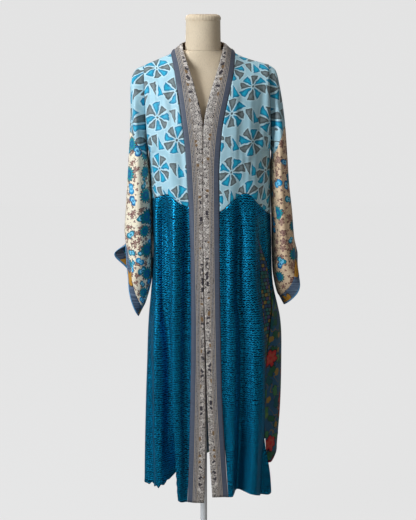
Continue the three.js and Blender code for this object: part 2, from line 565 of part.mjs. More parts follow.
// A sleeve's surface: turn runs once round each ring, from the underarm over the front
function sleevePoint(side, ring, turn) {
  const rows = SLEEVE[side === LEFT ? "left" : "right"];
  const value = (column) => look(rows, "ring", column, ring);
  const a = 2 * Math.PI * turn;
  const t = (1 - Math.cos(a)) / 2;
  const layer = Math.sin(a) >= 0 ? "front" : "back";
  const rise = BULGE_RISE[side === LEFT ? "left" : "right"][layer];
  const bulge = value(layer) * Math.sin(Math.PI * t ** rise) ** 2;
  return new THREE.Vector3(
    mix(value("inX"), value("outX"), t) + side * bulge,
    SIDE_Y - value("half") * Math.sin(a),
    mix(value("inZ"), value("outZ"), t),
  );
}
// Direction along the sleeve, square to a ring's plane
function sleeveAxis(side, ring) {
  const [low, high] = [sleevePoint(side, ring, 0), sleevePoint(side, ring, 0.5)];
  const across = high.sub(low);
  return new THREE.Vector3(across.z, 0, -across.x).normalize().multiplyScalar(side);
}
function addSleeve(name, cloth, side, rings) {
  const turns = Array.from({ length: 2 * STEPS }, (_, i) => i / (2 * STEPS));
  const outer = [];
  const inner = [];
  const [first, last] = [rings[0], rings[rings.length - 1]];
  for (const ring of rings) {
    const axis = sleeveAxis(side, ring);
    const end = ring === first ? HALF : ring === last ? -HALF : 0;
    const points = turns.map((t) => sleevePoint(side, ring, t));
    const inward = turns.map((t) => {
      const along = sleevePoint(side, ring, t + 0.01).sub(sleevePoint(side, ring, t - 0.01));
      return along.cross(axis).normalize();
    });
    outer.push(points.map((p) => p.clone().addScaledVector(axis, end)));
    inner.push(points.map((p, i) => p.clone().addScaledVector(axis, end).addScaledVector(inward[i], side * WALL)));
  }
  addMesh(name, wallGeometry(outer, inner, true), cloth);
}
for (const [name, side] of [["right", RIGHT], ["left", LEFT]]) {
  addSleeve("sleeve_top_" + name, PALE_BLUE, side, CAP_RINGS);
  addSleeve("sleeve_" + name, FLORAL, side, LOWER_RINGS);
  addSleeve("cuff_" + name, SLATE, side, CUFF_RINGS);
}

// A smooth solid through rings, closed flat at both ends
const FORM_SIDES = 24;
function ringSolid(rows) {
  const points = [];
  const faces = [];
  rows.forEach((row) => {
    const middle = (row.front + row.back) / 2;
    for (let i = 0; i < FORM_SIDES; i += 1) {
      const a = (2 * Math.PI * i) / FORM_SIDES;
      const depth = (row.back - row.front) / 2;
      const reach = depth * Math.sign(Math.cos(a)) * Math.abs(Math.cos(a)) ** row.point;
      points.push(new THREE.Vector3(row.side * Math.sin(a), middle - reach, row.z));
    }
  });
  const at = (r, i) => r * FORM_SIDES + (i % FORM_SIDES);
  for (let r = 0; r + 1 < rows.length; r += 1) {
    for (let i = 0; i < FORM_SIDES; i += 1) {
      faces.push([at(r, i), at(r, i + 1), at(r + 1, i + 1)], [at(r, i), at(r + 1, i + 1), at(r + 1, i)]);
    }
  }
  const ends = [0, rows.length - 1];
  ends.forEach((r, end) => {
    const middle = (rows[r].front + rows[r].back) / 2;
    points.push(new THREE.Vector3(0, middle, rows[r].z));
    const hub = points.length - 1;
    for (let i = 0; i < FORM_SIDES; i += 1) {
      faces.push(end ? [at(r, i), at(r, i + 1), hub] : [at(r, i + 1), at(r, i), hub]);
    }
  });
  return closedGeometry(points, faces);
}
addMesh("form_torso", ringSolid(TORSO), ECRU);
addMesh("form_neck", ringSolid(NECK), ECRU);
addMesh("form_cap", ringSolid(CAP), ECRU);

// The stand: a round base with a low collar, and a pole up into the form's underside
function lathe(name, profile, cloth) {
  const geometry = new THREE.LatheGeometry(profile.map(([r, z]) => new THREE.Vector2(r, z)), 48);
  geometry.rotateX(Math.PI / 2);
  addMesh(name, geometry, cloth);
}
const COLLAR_RADIUS = 18;
const COLLAR_TOP = 40;
lathe("base", [
  [0, 0], [BASE_RADIUS - 2, 0], [BASE_RADIUS, 3], [BASE_RADIUS, BASE_THICKNESS - 3],
  [BASE_RADIUS - 4, BASE_THICKNESS], [COLLAR_RADIUS, BASE_THICKNESS + 3],
  [COLLAR_RADIUS, COLLAR_TOP], [0, COLLAR_TOP],
], STEEL);
const POLE_LENGTH = TORSO[0].z - COLLAR_TOP - 2 * SEAM;   // a seam's width free at each end
const pole = new THREE.CylinderGeometry(POLE_RADIUS, POLE_RADIUS, POLE_LENGTH, FORM_SIDES);
pole.rotateX(Math.PI / 2);
pole.translate(0, 0, (TORSO[0].z + COLLAR_TOP) / 2);
addMesh("pole", pole, STEEL);

export default jacket;
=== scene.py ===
# %% [markdown]
# # A patchwork kimono robe on a dress form
# The CAD model is the fixed frame: it says where every panel, sleeve, band and part of the
# stand lies. This lesson dresses it. Each cut piece of silk becomes a fine sheet on the same
# form as its solid, with its listed creases laid in, and gets its print from its own cloth
# coordinates, so the print follows the folds.

# %% Load the frame
import json
import math
import bpy
import numpy as np
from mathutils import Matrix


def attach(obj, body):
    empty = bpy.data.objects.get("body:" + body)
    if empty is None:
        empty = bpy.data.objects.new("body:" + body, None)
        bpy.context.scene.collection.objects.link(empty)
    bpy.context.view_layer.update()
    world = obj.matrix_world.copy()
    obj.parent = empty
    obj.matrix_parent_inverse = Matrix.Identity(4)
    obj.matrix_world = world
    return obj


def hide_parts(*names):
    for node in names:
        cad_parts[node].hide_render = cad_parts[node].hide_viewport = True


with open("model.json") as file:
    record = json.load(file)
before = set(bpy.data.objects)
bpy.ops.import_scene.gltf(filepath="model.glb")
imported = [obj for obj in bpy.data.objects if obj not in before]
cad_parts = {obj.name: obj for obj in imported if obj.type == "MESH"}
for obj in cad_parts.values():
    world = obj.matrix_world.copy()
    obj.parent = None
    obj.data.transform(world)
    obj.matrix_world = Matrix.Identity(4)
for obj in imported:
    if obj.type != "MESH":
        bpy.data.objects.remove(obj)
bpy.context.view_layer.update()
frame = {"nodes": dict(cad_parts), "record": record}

MM = 0.001
SLOTS = {part["node"]: part["material_slot"] for part in frame["record"]["subparts"]}
print("nodes in the frame:", len(frame["nodes"]))

# %% [markdown]
# ## The form of the garment
# A hanging robe is easiest to describe by level rings: how wide it is to each side, and how
# far it stands out in front and behind. Short tables hold those sizes in millimetres, a row
# for each height, and one smooth lookup reads between the rows. The alternative, sculpting
# each panel, would let neighbours drift apart at their seams.

# %% Sizes shared by all the cloth
# Places are in millimetres: x to the robe's left, y to its back, z up from the floor
# The height of the underarm, and the y of the plane through the side seams
UNDERARM, SIDE_Y = 1412, 8
# Half the neck's width at the lower and the upper edge of the band
NECK_X, NECK_TOP_X = 93, 61
# In the middle of the back: the neckline, and the top of the band above it
BACK_NECK, BAND_BACK_TOP = 1672, 1727
# The thickness of silk, and the gap between two sewn panels
SILK, SEAM_GAP = 1.3, 0.2
RIGHT, LEFT = -1, 1
SIDES = {RIGHT: "right", LEFT: "left"}


def numbers(text):
    """Rows of numbers from lines of text."""
    return [[float(n) for n in line.split()] for line in text.strip().splitlines()]


def rows(names, text):
    """A table of named columns, in the order of its first one."""
    return dict(zip(names.split(), np.array(sorted(numbers(text))).T))


def look(table, key, column, at):
    """A table's column at any key, on a smooth curve through all the rows."""
    keys, values = table[key], table[column]
    at = np.clip(np.asarray(at, float), keys[0], keys[-1])
    low = np.clip(np.searchsorted(keys, at, side="left") - 1, 0, len(keys) - 2)
    before = np.maximum(np.arange(len(keys)) - 1, 0)
    after = np.minimum(np.arange(len(keys)) + 1, len(keys) - 1)
    slope = (values[after] - values[before]) / (keys[after] - keys[before])
    span = keys[low + 1] - keys[low]
    s = (at - keys[low]) / span
    p, q = values[low], values[low + 1]
    bend = p + (q - p) * (3 - 2 * s) * s * s
    return bend + slope[low] * span * s * (1 - s) ** 2 - slope[low + 1] * span * s * s * (1 - s)


def mix(a, b, t):
    return a + (b - a) * t


# %% Tables of the body: rings, shoulder line, levels and folds
# At each height: the section's reach to the right and left, its front and back in y, and the
# y of its right and left ends
BODY = rows("z right left front back rightY leftY", """
 330 189 235 -170 142 -60 -30
 440 187 237 -167 137 -52 -22
 600 182 246 -162 130 -40 -12
 760 176 246 -154 122 -28  -5
 880 171 240 -147 115 -12   2
 985 161 217 -142 110   0   6
1040 157 211 -140 107   4   8
1120 154 208 -136 103   6   8
1260 155 203 -131  98   8   8
1340 159 201 -130  97   8   8
1412 163 199 -129  98   8   8
1511 168 194 -124 102   8   8
1593 170 192 -108 102   8   8
1646 172 190  -80  98   8   8
1690 172 190  -54  88   8   8
1740 172 190  -40  76   8   8""")
# The shoulder line across the robe
SHOULDER = rows("x z", """
-172 1655
-130 1673
 -93 1690
 -61 1718
   0 1754
  61 1718
  93 1690
 130 1674
 190 1657""")
# Round the body, from 0 in front to 90 at its left: heights of the yoke's seam and the hem
LEVELS = rows("angle seam hem", """
-180 1270 350
-130 1262 352
-104 1263 358
 -90 1263 364
 -78 1266 364
 -52 1285 374
 -38 1294 386
 -27 1282 428
 -22 1272 354
 -12 1259 334
   0 1252 334
  11 1249 350
  21 1278 354
  35 1298 356
  47 1270 336
  61 1240 327
  72 1226 345
  90 1217 390
 130 1250 358
 180 1270 350""")
BACK_HEM = rows("angle z", """
 90 480
108 466
128 412
150 362
180 350
256 352
270 358""")
# Each fold: its angle at the top and at the hem, its half width in degrees, its depth at the
# top and at the hem, and the height that it starts from
FOLDS = rows("top hem width upper lower start", """
-14 -12  7 -11 -3 1380
-27 -19  9 10   9 1400
-45 -29 10 -13 -60 1400
-61 -44  9  8  10 1380
-76 -59  8  0 -14 1000
-84 -74  8  0   5  900
 18  17  5  4   5 1360
 28  26  8 -13 -36 1400
 42  37  9  9  15 1380
 55  53  9 -7 -16 1300
 84  84  9  0  -8  880
106 104  9  2  10 1150
119 118  9 -4 -26 1240
133 132 10  4   9 1230
146 148  9 -3 -14 1150
166 166 11  4  13 1240
184 184  9 -5 -32 1250
199 200  9  3   8 1180
217 217  9 -3 -17 1200
234 232 10  4  10 1240
249 246  8 -3 -22 1100""")
# The x of the outer and inner edges of both front bands
BAND = rows("z rightOut rightIn leftOut leftIn", """
 330 -50   2 77 29
 512 -44   6 66 18
 675 -40   6 57 12
 832 -37   4 53  8
 985 -37   1 50  3.5
1136 -39   0 48  1.4
1259 -42   0 47  1.3
1341 -46   0 46  1.3
1427 -51   0 49  1.4
1511 -61  -2 59  4
1592 -73 -21 77 23
1646 -82 -38 88 41
1690 -93 -54 93 54
1718 -96 -61 96 61""")
# The slit on the left: its x, and the width of the facing that shows in it
SLIT = rows("z x width", """
 345 215  0
 480 204  0
 580 195  0
 655 190  4
 780 186 12
 870 183 24
 975 180 25
1050 176 20
1110 171 12
1172 159  3
1215 152  0
1300 148  0""")
# Rings from armhole to cuff: x and z of the inner and the outer point, half the depth, and how
# far the front and the back swing outwards
SLEEVE = {
    RIGHT: rows("ring inX inZ outX outZ half front back", """
 0 -163 1412 -172 1655 52   0  0
 1 -164 1409 -198 1641 59   0  0
 2 -165 1406 -212 1604 66   0  0
 3 -165 1402 -213 1540 71   0  0
 4 -165 1396 -216 1472 74   0  0
 5 -163 1362 -222 1390 77   0  0
 6 -158 1285 -229 1300 79   0  0
 7 -157 1195 -236 1218 80   0  2
 8 -158 1095 -240 1168 80  -3  6
 9 -162 1005 -238 1142 78   2  8
10 -178  938 -234 1130 72   5 20
11 -192  908 -236 1124 62   8 34
12 -203  886 -239 1116 52  10 47"""),
    LEFT: rows("ring inX inZ outX outZ half front back", """
 0 199   1412 190 1657 52  0 0
 1 200   1409 211 1641 59  0 0
 2 201   1406 222 1603 66  0 0
 3 202   1402 233 1546 71  0 0
 4 203   1397 241 1486 74  0 0
 5 203   1362 249 1400 77  0 0
 6 205.5 1285 257 1312 79  0 0
 7 209   1195 268 1228 80  0 0
 8 212   1105 274 1168 79  2  2
 9 216   1025 278 1138 77  6  4
10 226    972 282 1122 72 12  6
11 238    948 286 1108 66 21  8
12 250    926 289 1090 60 27 10"""),
}
TOP_SEAM, CUFF_START, LAST_RING = 4, 10.6, 12
ARMHOLE = {side: {name: column[0] for name, column in SLEEVE[side].items()} for side in SIDES}
print("tables:", len(BODY["z"]), "rings,", len(FOLDS["top"]), "folds")


# %% [markdown]
# ## From a place on the cloth to a point in space
# shell() turns an angle round the body and a height into a point. Below the underarm the
# section is a rounded ring; above it the side edge follows the armhole, and the section
# shrinks towards the shoulder line. The big folds push the ring in or out, growing from
# where they start down to the hem, as real ones do when cloth hangs from one level.

# %% The shell and its normals
# How square a section is, how far below the shoulder it starts to close, and the sharpness
# of its corner at the armhole
ROUND, SHOULDER_DROP, ARMHOLE_CORNER = 0.85, 100, 8
# A fold is full this much below its start. From the top down, over the run, it drifts from
# its top angle and depth to those at the hem.
FOLD_RISE, FOLD_TOP, FOLD_RUN, FOLD_GROWTH = 260, 1250, 910, 1.6
# A place that depends on its own x is found by guessing the x and correcting it a few times
FIRST_X, TRIES, EDGE_TRIES = 100, 5, 8
ANGLE_STEP, HEIGHT_STEP = 0.4, 0.6


def wrap(angle):
    return (np.asarray(angle, float) + 180) % 360 - 180


def shoulder_z(x):
    return look(SHOULDER, "x", "z", x)


def side_edge(is_left, z, x):
    """The section's end at the side: its x, its y, and the armhole's reach."""
    low_x = np.where(is_left, look(BODY, "z", "left", z), look(BODY, "z", "right", z))
    low_y = np.where(is_left, look(BODY, "z", "leftY", z), look(BODY, "z", "rightY", z))
    rise = np.clip((z - UNDERARM) / (shoulder_z(x) - UNDERARM), 0, 1)
    ends = {side: np.abs(mix(ARMHOLE[side]["inX"], ARMHOLE[side]["outX"], rise)) for side in SIDES}
    reach = 2 * ARMHOLE[LEFT]["half"] * np.sqrt(rise * (1 - rise))
    below = z <= UNDERARM
    edge_x = np.where(below, low_x, np.where(is_left, ends[LEFT], ends[RIGHT]))
    return edge_x, np.where(below, low_y, SIDE_Y), np.where(below, 0, reach)


def fold_depth(angle, z):
    """How far the big folds push the ring out (+) or in (-)."""
    depth = np.zeros(np.broadcast(angle, z).shape)
    down = np.clip((FOLD_TOP - z) / FOLD_RUN, 0, 1)
    for top, hem, width, upper, lower, start in zip(*FOLDS.values()):
        grown = np.clip((start - z) / FOLD_RISE, 0, 1)
        away = np.clip(np.abs(wrap(angle - mix(top, hem, down))) / width, 0, 1)
        bell = np.cos(away * math.pi / 2) ** 2
        depth += bell * mix(upper, lower, down ** FOLD_GROWTH) * grown ** 2 * (3 - 2 * grown)
    return depth


def shell(angle, z):
    """Points of the garment's outer surface, in millimetres."""
    a = np.radians(wrap(angle))
    z = np.asarray(z, float) + 0 * a
    is_left, is_front = np.sin(a) >= 0, np.cos(a) >= 0
    side = np.where(is_left, 1.0, -1.0)
    x = side * FIRST_X
    for _ in range(TRIES):
        edge_x, edge_y, reach = side_edge(is_left, z, x)
        x = side * edge_x * np.abs(np.sin(a)) ** ROUND
    drop = np.clip((shoulder_z(x) - z) / SHOULDER_DROP, 0, 1)
    dome = np.sqrt(1 - (1 - drop) ** 2)
    middle = np.where(is_front, look(BODY, "z", "front", z), look(BODY, "z", "back", z))
    span = SIDE_Y + (middle - SIDE_Y) * dome - edge_y
    corner = reach * np.abs(np.sin(a)) ** ARMHOLE_CORNER
    y = edge_y + span * np.abs(np.cos(a)) ** ROUND + np.where(is_front, -corner, corner)
    depth = fold_depth(angle, z)
    out_x, out_y = np.sin(a) * np.abs(middle), -np.cos(a) * edge_x
    length = np.hypot(out_x, out_y)
    return np.stack([x + out_x / length * depth, y + out_y / length * depth, z], -1)


def unit(v):
    return v / np.maximum(np.linalg.norm(v, axis=-1, keepdims=True), 1e-9)


def shell_normal(angle, z):
    across = shell(angle + ANGLE_STEP, z) - shell(angle - ANGLE_STEP, z)
    up = shell(angle, z + HEIGHT_STEP) - shell(angle, z - HEIGHT_STEP)
    return unit(np.cross(across, up))


def angle_at(x, z, is_front=True):
    """The angle at which the front or the back reaches an x."""
    x = np.asarray(x, float)
    edge_x, _, _ = side_edge(x >= 0, np.asarray(z, float), x)
    a = np.degrees(np.arcsin(np.clip(np.abs(x) / edge_x, 0, 1) ** (1 / ROUND)))
    side = np.where(x >= 0, 1.0, -1.0)
    return side * a if is_front else 180 - side * a


# %% Levels of the panels
# A level places v = 0 at the hem or the lower seam. The gore is cut at two shares of its v.
GORE_LOW, GORE_SPLIT = 0.12, 0.73


def seam_z(angle):
    return look(LEVELS, "angle", "seam", wrap(angle))


def hem_z(angle):
    return look(LEVELS, "angle", "hem", wrap(angle))


def skirt_level(v, angle):
    return mix(hem_z(angle), seam_z(angle) - SEAM_GAP, v)


def back_level(v, angle):
    """The skirt's level at the back, whose hem is cut along its own line."""
    cut = mix(look(BACK_HEM, "angle", "z", angle), skirt_level(GORE_LOW, angle), v / GORE_LOW)
    return np.where(v >= GORE_LOW, skirt_level(v, angle), cut)


def neckline(x):
    """Height of the back neck."""
    return mix(BACK_NECK, shoulder_z(NECK_X), (x / NECK_X) ** 2)


def yoke_level(v, angle, is_back=False):
    """From the yoke's seam (v = 0) past the underarm (1) to the shoulder line (2)."""
    rise = (1 - np.cos(np.pi * np.clip(v - 1, 0, 1))) / 2
    top = shoulder_z(FIRST_X) + 0 * angle
    for _ in range(TRIES):
        x = shell(angle, mix(UNDERARM, top, rise))[..., 0]
        top = shoulder_z(x)
        if is_back:
            top = np.where(np.abs(x) < NECK_X, neckline(x), top)
    return np.where(v <= 1, mix(seam_z(angle), UNDERARM, v), mix(UNDERARM, top, rise))


def yoke_back_level(v, angle):
    return yoke_level(v, angle, is_back=True)


# %% Edges of the panels
# An edge gives its angle at each height. The side seams turn a little on their way down.
SIDE_TOP, SIDE_RUN = 1262, 900


def between(start, end, level):
    """Angle and height of grid places between two edges, across in s and up in v."""
    def place(s, v):
        z, angle = UNDERARM + 0 * s, 0 * s
        for _ in range(EDGE_TRIES):
            angle = mix(start(z), end(z), s)
            z = level(v, angle)
        return angle, z
    return place


def band_edge(name):
    return lambda z: angle_at(look(BAND, "z", name, z), z)


def slit_edge(z):
    return angle_at(look(SLIT, "z", "x", z), z)


def facing_edge(z):
    return angle_at(look(SLIT, "z", "x", z) + look(SLIT, "z", "width", z), z)


def side_right(z):
    return mix(-90, -104, np.clip((SIDE_TOP - z) / SIDE_RUN, 0, 1))


def side_left(z):
    return mix(90, 97, np.clip((SIDE_TOP - z) / SIDE_RUN, 0, 1))


def side_right_from_back(z):
    return 360 + side_right(z)


def straight(angle):
    return lambda z: angle + 0 * z


# %% [markdown]
# ## Laying a sheet
# Every piece of silk starts as a flat grid with a UV map, the way cloth starts flat on the
# table. Its vertices are then carried to their places on the form, and the UV map is
# rewritten in metres of cloth: lengths measured along the sheet itself, so a print keeps its
# real size wherever the sheet bends. Solidify then gives the silk its thickness. A cloth
# simulation was the other way, but it would not keep these folds where they hang.

# %% New pieces, creases and the sheet maker
CREASE_SWAY, CREASE_TURNS, CREASE_TAPER = 0.25, 5, 3.2
WELD = 0.00002


def soft(t):
    t = np.clip(t, 0, 1)
    return t * t * (3 - 2 * t)


def crease_depth(x, y, creases):
    """Sum of soft troughs (-) and ridges (+) along short lines on the sheet."""
    depth = np.zeros(x.shape)
    for x0, y0, x1, y1, width, height in creases:
        dx, dy = x1 - x0, y1 - y0
        length = math.hypot(dx, dy)
        along = ((x - x0) * dx + (y - y0) * dy) / length ** 2
        side = ((x - x0) * dy - (y - y0) * dx) / length
        # Each line sways in its own way
        sway = CREASE_SWAY * width * np.sin(along * CREASE_TURNS + x0 * 0.05 + height)
        taper = soft(along * CREASE_TAPER + 0.5) * soft((1 - along) * CREASE_TAPER + 0.5)
        depth += height * taper * np.exp(-(((side + sway) / width) ** 2))
    return depth


def added(make, name, **settings):
    """Runs one of the operators that add an object, and returns it under its name."""
    bpy.ops.object.select_all(action="DESELECT")
    make(**settings)
    piece = bpy.context.active_object
    piece.name = name
    return piece


def grid_sheet(name, points, uv, thickness, is_tube=False):
    """A bpy grid, carried to its points, with UVs in metres and a real thickness.

    uv holds two numbers for each point, or four when the sheet has a second map for its rim.
    """
    count_v, count_u = points.shape[:2]
    sheet = added(bpy.ops.mesh.primitive_grid_add, name, size=1,
                  x_subdivisions=count_u - 1, y_subdivisions=count_v - 1)
    mesh = sheet.data
    mesh.vertices.foreach_set("co", (points * MM).reshape(-1))
    loops = np.empty(len(mesh.loops), dtype=np.int32)
    mesh.loops.foreach_get("vertex_index", loops)
    mesh.uv_layers[0].name = "cloth"
    flat = (uv * MM).reshape(-1, uv.shape[-1])[loops]
    mesh.uv_layers["cloth"].data.foreach_set("uv", flat[:, :2].reshape(-1))
    if uv.shape[-1] == 4:
        mesh.uv_layers.new(name="rim", do_init=False)
        mesh.uv_layers["rim"].data.foreach_set("uv", flat[:, 2:].reshape(-1))
    mesh.update()
    if is_tube:
        weld = sheet.modifiers.new("weld", "WELD")
        weld.merge_threshold = WELD
        bpy.ops.object.modifier_apply(modifier="weld")
    wall = sheet.modifiers.new("silk", "SOLIDIFY")
    wall.thickness = thickness * MM
    wall.offset = -1
    wall.material_offset = 1
    wall.material_offset_rim = 1
    bpy.ops.object.modifier_apply(modifier="silk")
    bpy.ops.object.shade_smooth()
    return sheet


def lengths(points):
    """Cloth coordinates in millimetres: distances along the rows and up the columns."""
    step_u = np.linalg.norm(np.diff(points, axis=1), axis=-1)
    step_v = np.linalg.norm(np.diff(points, axis=0), axis=-1)
    u = np.concatenate([np.zeros((points.shape[0], 1)), np.cumsum(step_u, 1)], 1)
    v = np.concatenate([np.zeros((1, points.shape[1])), np.cumsum(step_v, 0)], 0)
    return u, v


def stand_for(piece, node):
    """Ties a piece to the solid it takes the place of."""
    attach(piece, "root")
    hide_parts(node)


def declare(sheet, node):
    """Ties a sheet to its solid."""
    stand_for(sheet, node)


# %% [markdown]
# ## Edges, seams and the right way round
# Cloth dips a little into every stitched seam and thickens a little at a turned hem. Both are
# added as small reliefs measured from the edges of the piece. Afterwards a check turns any
# grid that would face inward, because the thickness must always grow to the inside.

# %% Relief at the edges, and the finished panel
SEAM_DIP, SEAM_WIDTH = 1.0, 2.6
HEM_BEAD, HEM_WIDTH = 0.7, 5
FRAY_HEIGHT = 9
# Creases fade where the cloth turns to face sideways, so side seams meet and sleeves lie clear
CALM_FROM, CALM_OVER = 0.78, 0.17
# The left front is cut from the same print, this much further along
LEFT_SHIFT = 31


def edge_relief(across, up, seams, hems):
    """Dips at the seams and a bead at the hems. Edges are named by first letter: l r b t."""
    gaps = {"l": across, "r": across[:, -1:] - across, "b": up, "t": up[-1:] - up}
    relief = np.zeros(across.shape)
    for edge in seams:
        relief -= SEAM_DIP * np.exp(-((gaps[edge] / SEAM_WIDTH) ** 2))
    for edge in hems:
        relief += HEM_BEAD * np.exp(-(((gaps[edge] - HEM_WIDTH) / HEM_WIDTH) ** 2))
    return relief


def facing_out(points, uv, outward):
    """Turns the grid over where its own normal points against the outward direction."""
    middle = points.shape[0] // 2, points.shape[1] // 2
    across = points[middle[0], middle[1] + 1] - points[middle]
    up = points[middle[0] + 1, middle[1]] - points[middle]
    if np.dot(np.cross(across, up), outward[middle]) < 0:
        return points[:, ::-1], uv[:, ::-1]
    return points, uv


def in_front(p, high):
    """Keeps the points named by high in front of the plane of the side seams."""
    p[..., 1] = np.where(high, np.minimum(p[..., 1], SIDE_Y - SEAM_GAP), p[..., 1])
    return p


def behind(p, high):
    p[..., 1] = np.where(high, np.maximum(p[..., 1], SIDE_Y + SEAM_GAP), p[..., 1])
    return p


def keep_side(keep):
    """Keeps a yoke's cloth on its own side of that plane and inside both armholes."""
    def trim(p):
        high = p[..., 2] > UNDERARM - 1
        p = keep(p, high)
        for side in SIDES:
            ring = ARMHOLE[side]
            rise = (p[..., 2] - ring["inZ"]) / (ring["outZ"] - ring["inZ"])
            end = mix(ring["inX"], ring["outX"], rise)
            bound = np.minimum if side == LEFT else np.maximum
            p[..., 0] = np.where(high, bound(p[..., 0], end - side * SEAM_GAP), p[..., 0])
        return p
    return trim


def frayed(x, up, bites):
    """How far the worn hem is pulled down (-) or worn up (+), close to its edge."""
    shift = np.zeros(x.shape)
    for place, width, height in bites:
        shift += height * np.exp(-(((x - place) / width) ** 2)) * np.exp(-((up / FRAY_HEIGHT) ** 2))
    return shift


def dressed_panel(node, place, count, v_range, creases, seams, hems="", trim=None,
                  bites=()):
    """One cut panel of the garment, from its place on the shell to a finished sheet."""
    s, v = np.meshgrid(np.linspace(0, 1, count[0]), np.linspace(*v_range, count[1]))
    angle, z = place(s, v)
    base, normal = shell(angle, z), shell_normal(angle, z)
    run, up = lengths(base)
    # Across the cloth, u follows x on the fronts, and starts from the middle on the back
    heading = np.sign(angle[count[1] // 2, -1] - angle[count[1] // 2, 0])
    is_back = abs(wrap(angle[count[1] // 2, count[0] // 2])) > 90
    if is_back:
        middle = np.argmin(np.abs(base[..., 0]), axis=1)
        u = run - run[np.arange(len(run)), middle][:, None]
    else:
        u = base[:, :1, 0] + heading * run + (LEFT_SHIFT if heading > 0 else 0)
    height = base[:1, :, 2] + up
    calm = 1 - soft((np.abs(normal[..., 0]) - CALM_FROM) / CALM_OVER)
    relief = crease_depth(base[..., 0], base[..., 2], creases) * calm
    relief += edge_relief(run, up, seams, hems)
    points = base + normal * relief[..., None]
    points[..., 2] += frayed(base[..., 0], up, bites)
    if trim:
        points = trim(points)
    uv = np.stack([u, height], -1)
    points, uv = facing_out(points, uv, normal)
    declare(grid_sheet("cloth_" + node, points, uv, SILK), node)


# %% [markdown]
# ## The panels of the body
# The robe is a short yoke of pale silk with long skirts sewn to it. The right front runs from
# the band to the side seam, the left one to a slit that shows a narrow facing, with a dark
# gore beyond it, and the back is one wide piece. The big folds are in the form already. The
# smaller creases are listed here, in millimetres: x and height of the start, x and
# height of the end, then width and depth.

# %% Yoke and skirts
YOKE_RIGHT_CREASES = numbers("""
-156 1600 -146 1480  9 -3.0
-150 1470 -152 1290  9  3.0
-128 1620 -124 1470  8 -2.8
-112 1630 -104 1480 10  2.6
 -94 1600  -88 1500  8 -2.0
 -72 1600  -68 1480 10  2.6
-134 1440 -130 1300  8 -2.0
 -98 1480  -92 1285 11  4.2
 -64 1440  -60 1285  8 -3.4
-138 1450  -70 1380  9  1.4
 -82 1570  -80 1360  4  1.3
-106 1530 -101 1300  4 -1.2
-120 1490 -118 1290  5  1.4
-142 1560 -139 1360  4 -1.2""")
YOKE_LEFT_CREASES = numbers("""
 176 1610  152 1400 11 -3.4
 190 1500  172 1330  9 -3.6
 142 1640  136 1420 11  2.2
 112 1590  108 1440  9 -1.8
  90 1600   88 1440 10  1.8
  80 1440   76 1340  7  1.5
 122 1430  120 1330  8 -1.5
 156 1420  150 1280  9  2.0
 180 1440  110 1400 10  1.4
  94 1560   92 1350  4  1.3
 104 1480  106 1290  4 -1.2
 132 1540  130 1330  5  1.4
 162 1520  158 1320  5 -1.4""")
YOKE_BACK_CREASES = numbers("""
-120 1620 -104 1300 13 -4.4
 -60 1600  -66 1290 14  3.6
   0 1640    4 1300 12 -3.6
  58 1610   64 1300 13  3.4
 118 1620  108 1290 12 -4.4
-150 1500 -120 1380 11 -3.6
 164 1500  130 1380 11 -3.6""")
SKIRT_RIGHT_CREASES = numbers("""
-126 1275 -119  880  9 -11.0
-146 1270 -150 1000  9  3.0
 -84 1275  -86  900 14  3.0
 -50 1275  -54  400 10 -9.0
 -86 1230  -88  400 12  6.0
-108  940 -110  480 10 -8.0
-142  900 -150  500 11  3.0
-158  760 -168  400  9 -4.0
 -70  560  -72  350  9  4.0
-130  560 -136  370  8  3.0""")
SKIRT_LEFT_CREASES = numbers("""
  66 1270   70  400  9 -4.0
  86 1250   86  980  8  3.0
 104 1262  106  940  9 -4.6
 138 1250  146  900  9  1.6
  72 1000   76  620  8  3.0
 108  940  110  520 10 -4.6
 154  860  158  430 10  2.4
 172  780  182  430  9 -4.0
 134  620  134  370  8 -2.6
  92  560   92  350  9  3.4""")
SKIRT_BACK_CREASES = numbers("""
 176 1220  196  460 12  4.4
 140 1230  156  420 11 -4.6
 104 1240  120  370 12  4.4
  60 1240   66  380 10 -4.4
  18 1240   22  360 11  4.2
 -26 1240  -30  370 11 -4.4
 -70 1240  -82  380 12  4.4
-112 1230 -124  420 11 -4.6
-146 1220 -164  460 12  4.0""")
GORE_CREASES = numbers("""
 172 1180  190  900 10 -3.8
 194 1150  214  700 11  3.8
 206  860  226  460 10 -4.2
 188  800  200  440 10  3.2""")

# The worn hem of the right front: x, half width and height of each pulled or worn place
WORN_HEM = ((-172, 4, -3), (-163, 3, 4), (-155, 3, -5), (-147, 2.5, 4), (-140, 3, -6),
            (-132, 2.5, 4), (-124, 3, -4), (-113, 3, 5))
# The facing stays this many degrees inside its two edges, over this range of the skirt's level
FACING_INSET, FACING_RANGE = (0.4, 0.2), (0.35, 0.91)


def facing_start(z):
    return slit_edge(z) + FACING_INSET[0]


def facing_end(z):
    return facing_edge(z) - FACING_INSET[1]


dressed_panel("yoke_front_right", between(band_edge("rightOut"), straight(-90), yoke_level),
              (56, 110), (0, 2), YOKE_RIGHT_CREASES, "rb", trim=keep_side(in_front))
dressed_panel("yoke_front_left", between(band_edge("leftOut"), straight(90), yoke_level),
              (60, 110), (0, 2), YOKE_LEFT_CREASES, "rb", trim=keep_side(in_front))
dressed_panel("yoke_back", between(straight(90), straight(270), yoke_back_level),
              (130, 110), (0, 2), YOKE_BACK_CREASES, "lrb", trim=keep_side(behind))
dressed_panel("skirt_front_right", between(band_edge("rightOut"), side_right, skirt_level),
              (130, 190), (0, 1), SKIRT_RIGHT_CREASES, "rt", "b", bites=WORN_HEM)
dressed_panel("skirt_front_left", between(band_edge("leftOut"), slit_edge, skirt_level),
              (80, 190), (0, 1), SKIRT_LEFT_CREASES, "t", "b")
dressed_panel("skirt_back", between(side_left, side_right_from_back, back_level),
              (180, 190), (0, 1), SKIRT_BACK_CREASES, "lrt", "b")
